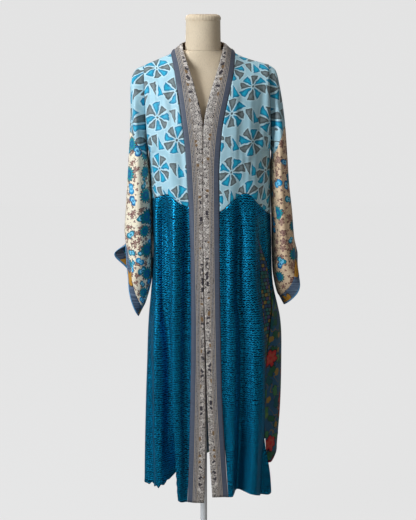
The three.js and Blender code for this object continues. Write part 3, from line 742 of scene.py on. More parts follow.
dressed_panel("gore_upper_left", between(facing_edge, side_left, skirt_level),
              (34, 56), (GORE_SPLIT, 1), GORE_CREASES, "rtb")
dressed_panel("gore_lower_left", between(facing_edge, side_left, skirt_level),
              (34, 110), (GORE_LOW, GORE_SPLIT), GORE_CREASES, "rt", "b")
dressed_panel("pocket_facing_left", between(facing_start, facing_end, skirt_level),
              (8, 100), FACING_RANGE, (), "lr")

# %% [markdown]
# ## The neck band
# The band is a strip folded double, so it is thicker than the panels and softly rounded
# across. Its fronts run from the hem up beside the V and lean over to the neck, where the
# back band meets them. It could be one long sweep, but the fronts and back are cut apart on
# the real robe, and so they are here.

# %% Bands
BAND_THICK, BAND_PROUD, BAND_PILLOW = 1.9, 0.5, 0.9
BAND_RIPPLE, RIPPLE_LONG, RIPPLE_SHORT = 0.5, 47, 29
LEAN_FROM = 1480
# Small gaps: at the band's own seam, and between the fronts' inner edges and the middle
BAND_GAP, MEET = 0.15, 0.45


def front_level(w, angle):
    """The skirt's level from 0 to 1, and the yoke's above it, from 1 to 3."""
    return np.where(w <= 1, skirt_level(w, angle), yoke_level(np.maximum(w - 1, 0), angle))


def band_place(side):
    name = SIDES[side]
    edge = band_edge(name + "Out")

    def place(s, v):
        _, outer_z = between(edge, edge, front_level)(0 * s, v)
        lean = np.clip((outer_z - LEAN_FROM) / (shoulder_z(NECK_X) - LEAN_FROM), 0, 1)
        inner_z = outer_z + (shoulder_z(NECK_TOP_X) - shoulder_z(NECK_X)) * lean ** 1.5
        z = mix(outer_z, inner_z, s)
        out_x = look(BAND, "z", name + "Out", outer_z) - side * BAND_GAP
        in_x = look(BAND, "z", name + "In", inner_z) - side * MEET
        return angle_at(mix(out_x, in_x, s), z), z
    return place


def band_sheet(node, place, count, v_range, keep):
    """A strip whose UV runs across in u, from the outer edge, and along it in v."""
    s, v = np.meshgrid(np.linspace(0, 1, count[0]), np.linspace(*v_range, count[1]))
    angle, z = place(s, v)
    base, normal = shell(angle, z), shell_normal(angle, z)
    run, up = lengths(base)
    relief = BAND_PILLOW * (1 - np.abs(2 * s - 1) ** 6)
    relief += BAND_RIPPLE * np.sin(up / RIPPLE_LONG + 2 * s) * np.sin(up / RIPPLE_SHORT)
    points = base + normal * (BAND_PROUD + relief)[..., None]
    points = keep(points, points[..., 2] > UNDERARM)
    uv = np.stack([run, up], -1)
    points, uv = facing_out(points, uv, normal)
    declare(grid_sheet("cloth_" + node, points, uv, BAND_THICK), node)


band_sheet("band_right", band_place(RIGHT), (16, 300), (0, 3), in_front)
band_sheet("band_left", band_place(LEFT), (16, 300), (0, 3), in_front)


def back_band_place(s, v):
    top = mix(BAND_BACK_TOP, shoulder_z(NECK_TOP_X), (v / NECK_X) ** 2)
    z = mix(neckline(v) + BAND_GAP, top, s)
    return angle_at(mix(v, v * NECK_TOP_X / NECK_X, s), z, is_front=False), z


band_sheet("band_back", back_band_place, (16, 60), (-NECK_X, NECK_X), behind)

# %% [markdown]
# ## Sleeves and cuffs
# A sleeve is a soft tube: a ring at the armhole, more rings down and outward, and the last
# one is the open cuff. Its cloth is a long tube grid, joined where its edges meet under the
# arm. It hangs flatter than a round tube, and long creases run down it, as they do on an empty
# sleeve. Their list counts hundredths of a turn round the sleeve and rings down it.

# %% The sleeve tubes
# The curve of each sleeve's bulge towards its outer edge, in front and behind
BULGE_RISE = {RIGHT: (0.65, 3.2), LEFT: (0.75, 1.0)}
# How much squarer than a round tube it hangs, and up to which ring
SLEEVE_FLAT, FLAT_UNTIL = 0.25, 11
# The cloth beside the body lies this much nearer to it than the rings say, from ring to ring
INNER_EASE, EASE_FROM, EASE_UNTIL, EASE_FADE = 1.9, 4.2, 10, 1.5
TURN_STEP, RING_STEP = 0.004, 0.01
# On the sleeve's top, a cloth length is this share of its x and y lengths added up
CAP_ARC = 0.88
# Where each sleeve is cut from its print
SLEEVE_SHIFT = {RIGHT: (40, 26), LEFT: (-160, 310)}


def sleeve_point(side, ring, turn):
    """A place on a sleeve. turn is 0 at the inner side, 0.25 in front, 0.5 outside, 0.75 behind."""
    in_x, in_z, out_x, out_z, half, front, back = (
        look(SLEEVE[side], "ring", name, ring)
        for name in ("inX", "inZ", "outX", "outZ", "half", "front", "back"))
    a = 2 * math.pi * turn
    t = (1 - np.cos(a)) / 2
    is_front = np.sin(a) >= 0
    rise = np.where(is_front, *BULGE_RISE[side])
    bulge = np.where(is_front, front, back) * np.sin(math.pi * t ** rise) ** 2
    x = mix(in_x, out_x, t) + side * bulge
    power = 1 - SLEEVE_FLAT * soft(ring / 2) * soft((FLAT_UNTIL - ring) / 2)
    y = SIDE_Y - half * np.sign(np.sin(a)) * np.abs(np.sin(a)) ** power
    return np.stack([x, y, mix(in_z, out_z, t)], -1)


def sleeve_normal(side, ring, turn):
    """Pointing out of the tube. At both ends the rings are compared on one side only."""
    def change(ring_step, turn_step):
        return (sleeve_point(side, ring + ring_step, turn + turn_step)
                - sleeve_point(side, ring - ring_step, turn - turn_step))
    here = sleeve_point(side, ring, turn)
    d_ring = change(RING_STEP, 0)
    last_row = here - sleeve_point(side, ring - 2 * RING_STEP, turn)
    first_row = sleeve_point(side, ring + 2 * RING_STEP, turn) - here
    d_ring = np.where((ring > LAST_RING - 2 * RING_STEP)[..., None], last_row, d_ring)
    d_ring = np.where((ring < 2 * RING_STEP)[..., None], first_row, d_ring)
    return unit(np.cross(change(0, TURN_STEP), d_ring)) * -side


def sleeve_cloth(base, turn, is_top):
    """Cloth lengths across a sleeve, from the middle of its outer side."""
    middle = base.shape[1] // 2
    if is_top:
        outer_z, outer_x = base[::-1, middle, 2], base[::-1, middle, 0]
        across_x = np.abs(base[..., 0] - np.interp(base[..., 2], outer_z, outer_x))
        return np.sign(turn - 0.5) * (across_x + np.abs(base[..., 1] - SIDE_Y)) * CAP_ARC
    flat = np.linalg.norm(np.diff(base[..., :2], axis=1), axis=-1)
    flat = np.concatenate([np.zeros((len(base), 1)), np.cumsum(flat, 1)], 1)
    return flat - flat[:, middle, None]


def sleeve_piece(node, side, first, last, rows_of_points, seams, hems=""):
    """One length of a sleeve, from ring to ring. Its relief fades where the tube is joined."""
    turn, ring = np.meshgrid(np.linspace(0, 1, 110), np.linspace(first, last, rows_of_points))
    base, normal = sleeve_point(side, ring, turn), sleeve_normal(side, ring, turn)
    around, along = lengths(base)
    relief = crease_depth(turn * 100, ring, SLEEVE_CREASES)
    relief += edge_relief(around, along, seams, hems)
    end_fade = np.sin(np.pi * np.clip(turn, 0, 1)) ** 0.25
    points = base + normal * (relief * end_fade)[..., None]
    near_body = np.cos(math.pi * np.minimum(turn, 1 - turn)) ** 2 * soft(ring - EASE_FROM)
    points[..., 0] -= side * INNER_EASE * near_body * soft((EASE_UNTIL - ring) / EASE_FADE)
    flat = sleeve_cloth(base, turn, is_top=first == 0)
    uv = np.stack([flat, base[..., 2]], -1) + SLEEVE_SHIFT[side]
    rim = np.stack([along[-1:] - along, around], -1)
    points, uv_and_rim = facing_out(points, np.concatenate([uv, rim], -1), normal)
    sheet = grid_sheet("cloth_" + node, points, uv_and_rim, SILK, is_tube=True)
    declare(sheet, node)


SLEEVE_CREASES = numbers("""
22 0.3 17 3.6 4.0 -2.2
30 0.2 27 3.8 4.5  2.0
38 0.4 36 3.7 4.0 -1.8
16 3.9 12 9.5 4.0 -2.4
24 4.1 22 9.8 4.5  2.4
31 4.2 31 9.6 4.0 -2.4
39 4.4 40 9.4 4.0  2.0
62 0.3 60 9.5 4.5 -2.2
70 0.4 71 9.4 4.5  2.2
80 0.5 82 9.2 4.5 -2.2
10 5.0  8 11.8 4.0  1.8
28 9.0 30 11.8 4.0 -1.6""")
for side, word in SIDES.items():
    sleeve_piece("sleeve_top_" + word, side, 0, TOP_SEAM, 60, "bt")
    sleeve_piece("sleeve_" + word, side, TOP_SEAM, CUFF_START, 140, "bt")
    sleeve_piece("cuff_" + word, side, CUFF_START, LAST_RING, 24, "b", "t")

# %% [markdown]
# ## The dress form and its stand
# The form is linen over a shell: a torso, a slim neck and a cap of gathered cloth. Each is a
# smooth round body, so each starts as a sphere and is shaped by level rings, its poles
# flattened into the ends. The pole and base are plain turned steel, and the base is painted.

# %% Form rings
TORSO = rows("z side front back point", """
 960  70   -48 48 1
 968 104   -74 62 1
 985 128   -92 78 1
1020 139  -100 86 1
1080 140  -100 88 1
1160 130   -92 80 1
1240 118   -86 70 1
1320 126   -96 74 1
1400 138  -108 82 1
1460 144  -112 86 1
1530 148  -106 88 1
1590 152   -86 84 1
1630 155   -60 72 1.15
1648 155   -50 60 1.5
1660 143   -48 56 1.9
1670 126   -47 54 2
1679 106.5 -46 53 2
1687  88   -46 52 1.8
1693  70   -46 51 1.4
1698  56   -46 50 1.1""")
NECK = rows("z side front back point", """
1698.3 52   -46 50 1
1730   50.5 -46 50 1
1782   49.5 -46 50 1""")
CAP = rows("z side front back point", """
1782.3 51   -47.5 51.5 1
1790   50.5 -47   51   1
1796   46   -42   46   1
1799   38   -34   38   1""")
END_SHARE = 0.08
GATHERS = 26


def form_part(node, table, ring_count=100, ridge=0.0):
    """A sphere shaped by a table of rings; its last shares fold in flat at both ends."""
    body = added(bpy.ops.mesh.primitive_uv_sphere_add, node.replace("form", "linen"),
                 segments=96, ring_count=ring_count, radius=1)
    co = np.empty(len(body.data.vertices) * 3)
    body.data.vertices.foreach_get("co", co)
    x, y, h = co.reshape(-1, 3).T
    t = 0.5 + np.arcsin(np.clip(h, -1, 1)) / math.pi
    turn = np.arctan2(x, -y)
    inner = np.clip((t - END_SHARE) / (1 - 2 * END_SHARE), 0, 1)
    z = mix(table["z"][0], table["z"][-1], inner)
    close = np.sin(np.clip(np.minimum(t, 1 - t) / END_SHARE, 0, 1) * math.pi / 2)
    side, front, back, point = (look(table, "z", k, z) for k in ("side", "front", "back", "point"))
    depth = (back - front) / 2
    reach = depth * np.sign(np.cos(turn)) * np.abs(np.cos(turn)) ** point
    swell = 1 + ridge * np.cos(turn * GATHERS) * close * (1 - close) * 4
    points = np.stack([side * np.sin(turn) * close * swell,
                       (front + back) / 2 - reach * close * swell, z], -1)
    body.data.vertices.foreach_set("co", (points * MM).reshape(-1))
    body.data.update()
    bpy.ops.object.shade_smooth()
    stand_for(body, node)
    print(node, "rings", len(table["z"]))
    return body


torso = form_part("form_torso", TORSO, ring_count=180)
neck = form_part("form_neck", NECK)
cap = form_part("form_cap", CAP, ring_count=48, ridge=0.012)

# %% Pole and base
# In metres
BASE_RADIUS, BASE_THICK = 0.150, 0.012
COLLAR_RADIUS, COLLAR_TOP = 0.018, 0.040
POLE_RADIUS, POLE_TOP = 0.011, 0.960


def turned(name, node, radius, low, high, bevel, vertices=96):
    """A plain turned cylinder with softened ends."""
    piece = added(bpy.ops.mesh.primitive_cylinder_add, name, radius=radius, depth=high - low,
                  vertices=vertices)
    bpy.ops.transform.translate(value=(0, 0, (low + high) / 2))
    bpy.ops.object.transform_apply(location=True, rotation=True, scale=True)
    soft_edge = piece.modifiers.new("edge", "BEVEL")
    soft_edge.width, soft_edge.segments, soft_edge.limit_method = bevel, 4, "ANGLE"
    bpy.ops.object.modifier_apply(modifier="edge")
    bpy.ops.object.shade_smooth_by_angle(angle=math.radians(40))
    stand_for(piece, node)
    return piece


base = turned("stand_base", "base", BASE_RADIUS, 0, BASE_THICK, 0.003)
collar = turned("stand_collar", "base", COLLAR_RADIUS, BASE_THICK, COLLAR_TOP, 0.002, 48)
pole = turned("stand_pole", "pole", POLE_RADIUS, COLLAR_TOP, POLE_TOP, 0.0005, 48)
print("the pole ends at", POLE_TOP, "m, inside the torso")

# %% [markdown]
# ## Prints
# Every print is drawn by shader nodes from the cloth's own UV map in metres, so it bends
# with the folds and keeps its true scale. Effects that several silks share are node groups:
# a weave, a scattered motif, a pinwheel, a zigzag and so on. Each group gives masks and
# heights only, and the colours and the shader stay in the material.

# %% A short way to write node trees
class Net:
    """Adds nodes to one tree. Most of its methods return an output socket."""

    def __init__(self, tree):
        self.tree = tree
        self.count = 0

    def add(self, kind, **settings):
        node = self.tree.nodes.new(kind)
        node.location = (180 * (self.count % 12), -220 * (self.count // 12))
        self.count += 1
        for key, value in settings.items():
            setattr(node, key, value)
        return node

    def plug(self, socket, value):
        """Links a socket to another, or sets its value."""
        if isinstance(value, bpy.types.NodeSocket):
            self.tree.links.new(value, socket)
        elif value is not None:
            if socket.type == "RGBA" and len(value) == 3:
                value = (*value, 1)
            socket.default_value = value

    def math(self, operation, *values):
        node = self.add("ShaderNodeMath", operation=operation)
        for socket, value in zip(node.inputs, values):
            self.plug(socket, value)
        return node.outputs[0]

    def times(self, a, b):
        return self.math("MULTIPLY", a, b)

    def plus(self, a, b):
        return self.math("ADD", a, b)

    def minus(self, a, b):
        return self.math("SUBTRACT", a, b)

    def over(self, a, b):
        return self.math("DIVIDE", a, b)

    def least(self, a, b):
        return self.math("MINIMUM", a, b)

    def most(self, a, b):
        return self.math("MAXIMUM", a, b)

    def size(self, a):
        return self.math("ABSOLUTE", a)

    def floor(self, a):
        return self.math("FLOOR", a)

    def from_middle(self, a):
        """How far a value is from the middle of its own unit cell, from -0.5 to 0.5."""
        return self.minus(self.math("FRACT", a), 0.5)

    def distance(self, x, y):
        return self.math("SQRT", self.plus(self.times(x, x), self.times(y, y)))

    def vector(self, operation, *values):
        node = self.add("ShaderNodeVectorMath", operation=operation)
        for socket, value in zip(node.inputs, values):
            self.plug(socket, value)
        return node.outputs["Vector"]

    def drift(self, vector, scale, amount):
        """A small move this way and that, to make a drawn edge uneven."""
        node = self.add("ShaderNodeTexNoise")
        self.plug(node.inputs["Vector"], vector)
        self.plug(node.inputs["Scale"], scale)
        move = self.vector("SUBTRACT", node.outputs["Color"], (0.5, 0.5, 0.5))
        return self.vector("MULTIPLY", move, amount)

    def step(self, value, low, high):
        """0 at the first limit, 1 at the second, smooth between. Either may be the larger."""
        node = self.add("ShaderNodeMapRange", interpolation_type="SMOOTHSTEP")
        for name, number in (("Value", value), ("From Min", low), ("From Max", high)):
            self.plug(node.inputs[name], number)
        return node.outputs["Result"]

    def blend(self, factor, a, b, how="MIX"):
        node = self.add("ShaderNodeMix", data_type="RGBA", blend_type=how)
        self.plug(node.inputs["Factor"], factor)
        self.plug(node.inputs[6], a)
        self.plug(node.inputs[7], b)
        return node.outputs[2]

    def noise(self, vector, scale, detail=2.0, rough=0.5):
        node = self.add("ShaderNodeTexNoise")
        self.plug(node.inputs["Vector"], vector)
        for name, number in (("Scale", scale), ("Detail", detail), ("Roughness", rough)):
            self.plug(node.inputs[name], number)
        return node.outputs["Fac"]

    def split(self, vector):
        node = self.add("ShaderNodeSeparateXYZ")
        self.plug(node.inputs[0], vector)
        return node.outputs[0], node.outputs[1]

    def join(self, x, y, z=0.0):
        node = self.add("ShaderNodeCombineXYZ")
        for socket, value in zip(node.inputs, (x, y, z)):
            self.plug(socket, value)
        return node.outputs[0]

    def random(self, vector):
        node = self.add("ShaderNodeTexWhiteNoise", noise_dimensions="3D")
        self.plug(node.inputs["Vector"], vector)
        return node.outputs["Value"]

    def use(self, group, **values):
        node = self.add("ShaderNodeGroup")
        node.node_tree = group
        for name, value in values.items():
            self.plug(node.inputs[name], value)
        return node.outputs


def new_material(name):
    """A material with its Net and its shader."""
    material = bpy.data.materials.new(name)
    material.use_nodes = True
    return material, Net(material.node_tree), material.node_tree.nodes["Principled BSDF"]


def set_inputs(net, shader, values):
    for name, value in values.items():
        net.plug(shader.inputs[name], value)


def bump(net, shader, height, strength, distance):
    """Small relief that only changes how the light falls on the surface."""
    relief = net.add("ShaderNodeBump")
    set_inputs(net, relief, {"Strength": strength, "Distance": distance, "Height": height})
    net.plug(shader.inputs["Normal"], relief.outputs[0])


def new_group(name, inputs, outputs):
    """An empty node group with its sockets, and the Net that fills it."""
    tree = bpy.data.node_groups.new(name, "ShaderNodeTree")
    kinds = {"v": "NodeSocketVector", "f": "NodeSocketFloat"}
    for kind, socket, default in inputs:
        made = tree.interface.new_socket(socket, in_out="INPUT", socket_type=kinds[kind])
        if default is not None:
            made.default_value = default
    for kind, socket in outputs:
        tree.interface.new_socket(socket, in_out="OUTPUT", socket_type=kinds[kind])
    net = Net(tree)
    return tree, net, net.add("NodeGroupInput").outputs, net.add("NodeGroupOutput").inputs


# %% Weave and scattered motifs
# Threads in a metre of cloth, and how often each swells along its length
WARP_THREADS, WARP_SWELLS = 900, 40
WEFT_THREADS, WEFT_SWELLS = 800, 35
WEAVE, net, i, o = new_group("weave", [("v", "Cloth", None), ("f", "Slub", 0.5)],
                             [("f", "Height"), ("f", "Tone")])
u, v = net.split(i["Cloth"])
warp_slub = net.noise(net.join(net.times(u, WARP_THREADS), net.times(v, WARP_SWELLS)), 1.0)
weft_slub = net.noise(net.join(net.times(u, WEFT_SWELLS), net.times(v, WEFT_THREADS)), 1.0)
slub = net.times(net.minus(net.plus(warp_slub, weft_slub), 1.0), i["Slub"])
crumple = net.noise(i["Cloth"], 38, 3.0, 0.55)
net.plug(o["Height"], net.plus(slub, net.times(crumple, 0.8)))
net.plug(o["Tone"], net.plus(1.0, net.times(slub, 0.5)))

# A motif on scattered places: how far inside its outline a point lies, how far from its
# middle, and the motif's random value. Each motif is turned and sized by chance.
FULL_TURN = 6.28
SMALLEST, SIZE_RANGE = 0.75, 0.4
MOTIF, net, i, o = new_group(
    "scattered_motif",
    [("v", "Cloth", None), ("f", "Scale", 50.0), ("f", "Petals", 5.0), ("f", "Depth", 0.3),
     ("f", "Size", 0.35), ("f", "Shift", 0.0), ("f", "Ragged", 0.003)],
    [("f", "Inside"), ("f", "Chance"), ("f", "Radius")])
astray = net.drift(i["Cloth"], 110, net.join(i["Ragged"], i["Ragged"]))
moved = net.vector("ADD", net.vector("ADD", i["Cloth"], net.join(i["Shift"], i["Shift"])), astray)
cells = net.add("ShaderNodeTexVoronoi", voronoi_dimensions="2D", feature="F1")
net.plug(cells.inputs["Vector"], moved)
net.plug(cells.inputs["Scale"], i["Scale"])
net.plug(cells.inputs["Randomness"], 0.9)
local = net.vector("SUBTRACT", moved, cells.outputs["Position"])
lx, ly = net.split(local)
radius = net.times(net.distance(lx, ly), i["Scale"])
chance = net.add("ShaderNodeSeparateColor")
net.plug(chance.inputs[0], cells.outputs["Color"])
turn = net.plus(net.math("ARCTAN2", ly, lx), net.times(chance.outputs[1], FULL_TURN))
wave = net.size(net.math("COSINE", net.times(turn, net.times(i["Petals"], 0.5))))
reach = net.times(i["Size"], net.minus(1.0, net.times(i["Depth"], net.minus(1.0, wave))))
reach = net.times(reach, net.plus(SMALLEST, net.times(chance.outputs[2], SIZE_RANGE)))
net.plug(o["Inside"], net.minus(reach, radius))
net.plug(o["Chance"], chance.outputs[0])
net.plug(o["Radius"], net.over(radius, reach))

# %% [markdown]
# ## Pinwheels, zigzags and tiles
# The pale silk carries painted pinwheels: eight wedges, blue and grey in turn. Two sets of
# wheels lie on the same repeat, the second moved by half of it both ways, with a pair of small
# triangles in each space between. The teal silk has rows of fine zigzag. The pocket facing is
# printed like rounded tiles. All three are worked out from cell numbers, angles and noise,
# which costs less than a drawn picture, and no two wheels or tiles come out quite alike.

# %% Pinwheel repeat
# In metres of cloth: the repeat both ways, and the unit that the wheels are measured in
WHEEL_PITCH_U, WHEEL_PITCH_V = 0.126, 0.152
WHEEL_UNIT = 0.110
# In wheel units: the wheel, the hole in its middle, and the range it lies off its place in
WHEEL_RADIUS, WHEEL_HOLE, WHEEL_ASTRAY = 0.39, 0.06, 0.20
DOT_EDGE = (0.034, 0.022)
WEDGES, WEDGE_ANGLE = 8, 0.785
# The gap between two wedges: a fixed part and one that grows outwards
WEDGE_GAP, GAP_GROWTH = 0.007, 0.040
# Wedges end a little short of the wheel, each by its own amount, and lean to one side
RIM_SHORT, RIM_UNEVEN, RIM_LEAN = 0.05, 0.06, 0.05
# The triangle pairs: half the gap between the two, their reach, steepness and lean
PAIR_GAP, PAIR_REACH, PAIR_SLOPE, PAIR_LEAN = 0.020, 0.215, 0.95, 0.7
PAINT_EDGE, POOL_EDGE, HALO_EDGE = (0.0, 0.012), (0.005, 0.085), (-0.036, -0.014)


def repeat_cell(net, cloth, shift_u, shift_v):
    """Place in a cell of the repeat, from its middle in wheel units, and the cells crossed."""
    u, v = net.split(cloth)
    cell_u = net.plus(net.over(u, WHEEL_PITCH_U), shift_u)
    cell_v = net.plus(net.over(v, WHEEL_PITCH_V), shift_v)
    local_u = net.times(net.from_middle(cell_u), WHEEL_PITCH_U / WHEEL_UNIT)
    local_v = net.times(net.from_middle(cell_v), WHEEL_PITCH_V / WHEEL_UNIT)
    return local_u, local_v, cell_u, cell_v


PINWHEEL, net, i, o = new_group(
    "pinwheel", [("v", "Cloth", None)],
    [("f", "Blue"), ("f", "Grey"), ("f", "Pool"), ("f", "Dot"), ("f", "Halo")])
painted = net.vector("ADD", i["Cloth"], net.drift(i["Cloth"], 60, (0.010, 0.010, 0.0)))
blue, grey, dot, depth, clear = 0.0, 0.0, 0.0, -1.0, 1.0
for shift in (0.0, 0.5):
    pu, pv, cell_u, cell_v = repeat_cell(net, painted, shift + 0.1, shift)
    cell = net.join(net.floor(cell_u), net.floor(cell_v), shift + 0.1)
    astray = net.random(net.vector("ADD", cell, (0.0, 0.0, 3.0)))
    pv = net.plus(pv, net.times(net.minus(astray, 0.5), WHEEL_ASTRAY))
    radius = net.distance(pu, pv)
    spin = net.plus(net.over(net.math("ARCTAN2", pv, pu), 2 * math.pi), net.random(cell))
    wedge = net.times(net.plus(spin, 1.0), float(WEDGES))
    number = net.math("FLOORED_MODULO", net.floor(wedge), 2.0)
    lean = net.from_middle(wedge)
    from_edge = net.minus(0.5, net.size(lean))
    gap = net.times(net.times(from_edge, radius), WEDGE_ANGLE)
    gap = net.minus(gap, net.plus(WEDGE_GAP, net.times(radius, GAP_GROWTH)))
    uneven = net.random(net.vector("ADD", cell, net.join(net.floor(wedge), 0.0, 0.0)))
    rim = net.minus(net.plus(WHEEL_RADIUS - RIM_SHORT, net.times(uneven, RIM_UNEVEN)),
                    net.plus(radius, net.times(lean, RIM_LEAN)))
    within = net.least(gap, net.least(rim, net.minus(radius, WHEEL_HOLE)))
    shape = net.step(within, *PAINT_EDGE)
    blue = net.most(blue, net.times(shape, number))
    grey = net.most(grey, net.times(shape, net.minus(1.0, number)))
    dot = net.most(dot, net.step(radius, *DOT_EDGE))
    depth = net.most(depth, within)
    clear = net.least(clear, net.minus(radius, WHEEL_RADIUS))
for shift_u, shift_v in ((0.5, 0.0), (0.0, 0.5)):
    tu, tv, _, _ = repeat_cell(net, painted, shift_u + 0.1, shift_v)
    across = net.size(tu)
    leaning = net.size(net.plus(tv, net.times(tu, PAIR_LEAN)))
    slope = net.minus(PAIR_REACH, net.plus(net.times(across, PAIR_SLOPE), leaning))
    inside = net.least(net.least(net.minus(across, PAIR_GAP), slope), clear)
    pair = net.step(inside, *PAINT_EDGE)
    left_one = net.math("GREATER_THAN", tu, 0.0)
    blue = net.most(blue, net.times(pair, left_one))
    grey = net.most(grey, net.times(pair, net.minus(1.0, left_one)))
    depth = net.most(depth, inside)
# Paint pools away from its edges, in uneven patches, and leaves a pale halo outside them
patches = net.times(net.minus(net.noise(i["Cloth"], 170, 3.0), 0.5), 0.09)
net.plug(o["Blue"], blue)
net.plug(o["Grey"], grey)
net.plug(o["Pool"], net.step(net.plus(depth, patches), *POOL_EDGE))
net.plug(o["Dot"], dot)
net.plug(o["Halo"], net.step(depth, *HALO_EDGE))

# %% Zigzag rows
# The rows wander, and break where a noise stretched across the cloth is low
WANDER, BREAKS_U, BREAKS_V = 1.3, 270, 190
ROW_EDGE, BREAK_EDGE = (0.36, 0.26), (0.30, 0.42)
ZIGZAG, net, i, o = new_group(
    "zigzag_rows", [("v", "Cloth", None), ("f", "Pitch", 0.0073), ("f", "Wave", 0.0096)],
    [("f", "Line")])
u, v = net.split(i["Cloth"])
saw = net.size(net.from_middle(net.over(u, i["Wave"])))
wander = net.times(net.noise(i["Cloth"], 130, 2.0), WANDER)
level = net.plus(net.plus(net.over(v, i["Pitch"]), saw), wander)
row = net.size(net.from_middle(level))
breaks = net.noise(net.join(net.times(u, BREAKS_U), net.times(v, BREAKS_V)), 1.0, 0.0)
net.plug(o["Line"], net.times(net.step(row, *ROW_EDGE), net.step(breaks, *BREAK_EDGE)))

# %% Rounded tiles
TILE_U, TILE_V, TILE_STAGGER, TILE_SIZE = 0.0125, 0.0115, 0.37, 2.2
TILES, net, i, o = new_group("rounded_tiles", [("v", "Cloth", None)],
                             [("f", "Tile"), ("f", "Chance")])
u, v = net.split(i["Cloth"])
cell_v = net.over(v, TILE_V)
row = net.floor(cell_v)
cell_u = net.plus(net.over(u, TILE_U), net.times(row, TILE_STAGGER))
across, up = (net.times(net.size(net.from_middle(cell)), TILE_SIZE) for cell in (cell_u, cell_v))
rounded = net.plus(net.math("POWER", across, 4.0), net.math("POWER", up, 4.0))
net.plug(o["Tile"], net.step(rounded, 1.0, 0.6))
net.plug(o["Chance"], net.random(net.join(net.floor(cell_u), row)))
print("node groups:", [g.name for g in bpy.data.node_groups])

# %% [markdown]
# ## Silk materials
# A silk is a base colour from its print, a soft roughness and a faint sheen. The teal silk is
# a satin, whose face shines in its own colour, so it is made partly metallic. The inner side
# shows the same print darker and duller, and has no satin face, so every print makes two
# materials: one for the outside and one for the inside and the cut edges.

# %% The silk maker
INNER_DULL = 0.15
CORE_EDGE, EYE_EDGE = (0.66, 0.58), (0.30, 0.24)


def silk(name, paint, roughness, slub=0.5, weave_bump=0.25, sheen=0.1, inner=0.45, gloss=0.4,
         satin=0.0):
    """Outer and inner material from paint(net, cloth), which returns a colour."""
    made = []
    for is_inner in (False, True):
        material, net, shader = new_material(name + ("_inner" if is_inner else ""))
        cloth = net.add("ShaderNodeUVMap", uv_map="cloth").outputs[0]
        color = paint(net, cloth)
        weave = net.use(WEAVE, Cloth=cloth, Slub=slub)
        tone = net.join(weave["Tone"], weave["Tone"], weave["Tone"])
        color = net.blend(1.0, color, tone, "MULTIPLY")
        if is_inner:
            color = net.blend(1.0, color, (inner, inner, inner), "MULTIPLY")
        set_inputs(net, shader, {
            "Base Color": color, "Roughness": roughness + INNER_DULL * is_inner,
            "Specular IOR Level": gloss, "Metallic": 0.0 if is_inner else satin,
            "Sheen Weight": sheen, "Sheen Roughness": 0.4})
        bump(net, shader, weave["Height"], weave_bump, 0.0012)
        made.append(material)
    return made


def motif_color(net, chance, choices):
    """Picks one of the colours by the motif's random value."""
    color = choices[0]
    for number, choice in enumerate(choices[1:], 1):
        color = net.blend(net.math("GREATER_THAN", chance, number / len(choices)), color, choice)
    return color


def print_motif(net, color, cloth, scale, petals, depth, size, shift, inks, keep=1.0, core=None,
                line=None, edge=0.02, ragged=0.004):
    """Prints a scattered motif over a colour, with an outline and a core if they are given.

    scale is the number of motifs in a metre, petals, depth and size give one its shape, shift
    moves the scatter, keep is the share of the motifs that are printed, and ragged says how
    far, in metres, an outline wanders.
    """
    out = net.use(MOTIF, Cloth=cloth, Scale=scale, Petals=petals, Depth=depth, Size=size,
                  Shift=shift, Ragged=ragged)
    shown = net.math("LESS_THAN", out["Chance"], keep)
    ink = motif_color(net, net.over(out["Chance"], keep), inks)
    if line:
        color = net.blend(net.times(net.step(out["Inside"], -edge * 1.6, -edge * 0.6), shown),
                          color, line)
    color = net.blend(net.times(net.step(out["Inside"], 0.0, edge), shown), color, ink)
    if core:
        ring = net.times(net.step(out["Radius"], *CORE_EDGE), shown)
        color = net.blend(ring, color, core)
        eye = net.times(net.step(out["Radius"], *EYE_EDGE), shown)
        color = net.blend(eye, color, ink)
    return color


def vines(net, color, cloth, scale, ink, width=0.012):
    """Thin wandering stems, where a noise crosses its middle value."""
    far = net.size(net.minus(net.noise(cloth, scale, 1.0), 0.5))
    return net.blend(net.step(far, width, width * 0.4), color, ink)


# %% The prints of the robe
def paint_yoke(net, cloth):
    wash = net.noise(cloth, 16, 3.0)
    wheel = net.use(PINWHEEL, Cloth=cloth)
    ground = net.blend(wash, (0.34, 0.58, 0.66), (0.48, 0.72, 0.80))
    ground = net.blend(net.times(wheel["Halo"], 0.55), ground, (0.62, 0.84, 0.90))
    blue = net.blend(wheel["Pool"], (0.002, 0.19, 0.35), (0.01, 0.45, 0.67))
    grey = net.blend(wheel["Pool"], (0.08, 0.105, 0.11), (0.21, 0.26, 0.265))
    color = net.blend(wheel["Blue"], ground, blue)
    color = net.blend(wheel["Grey"], color, grey)
    return net.blend(wheel["Dot"], color, (0.07, 0.09, 0.10))


def paint_skirt(net, cloth):
    wash = net.noise(cloth, 24, 3.0)
    ground = net.blend(wash, (0.004, 0.31, 0.59), (0.008, 0.44, 0.78))
    line = net.use(ZIGZAG, Cloth=cloth)
    return net.blend(line["Line"], ground, (0.0006, 0.012, 0.030))


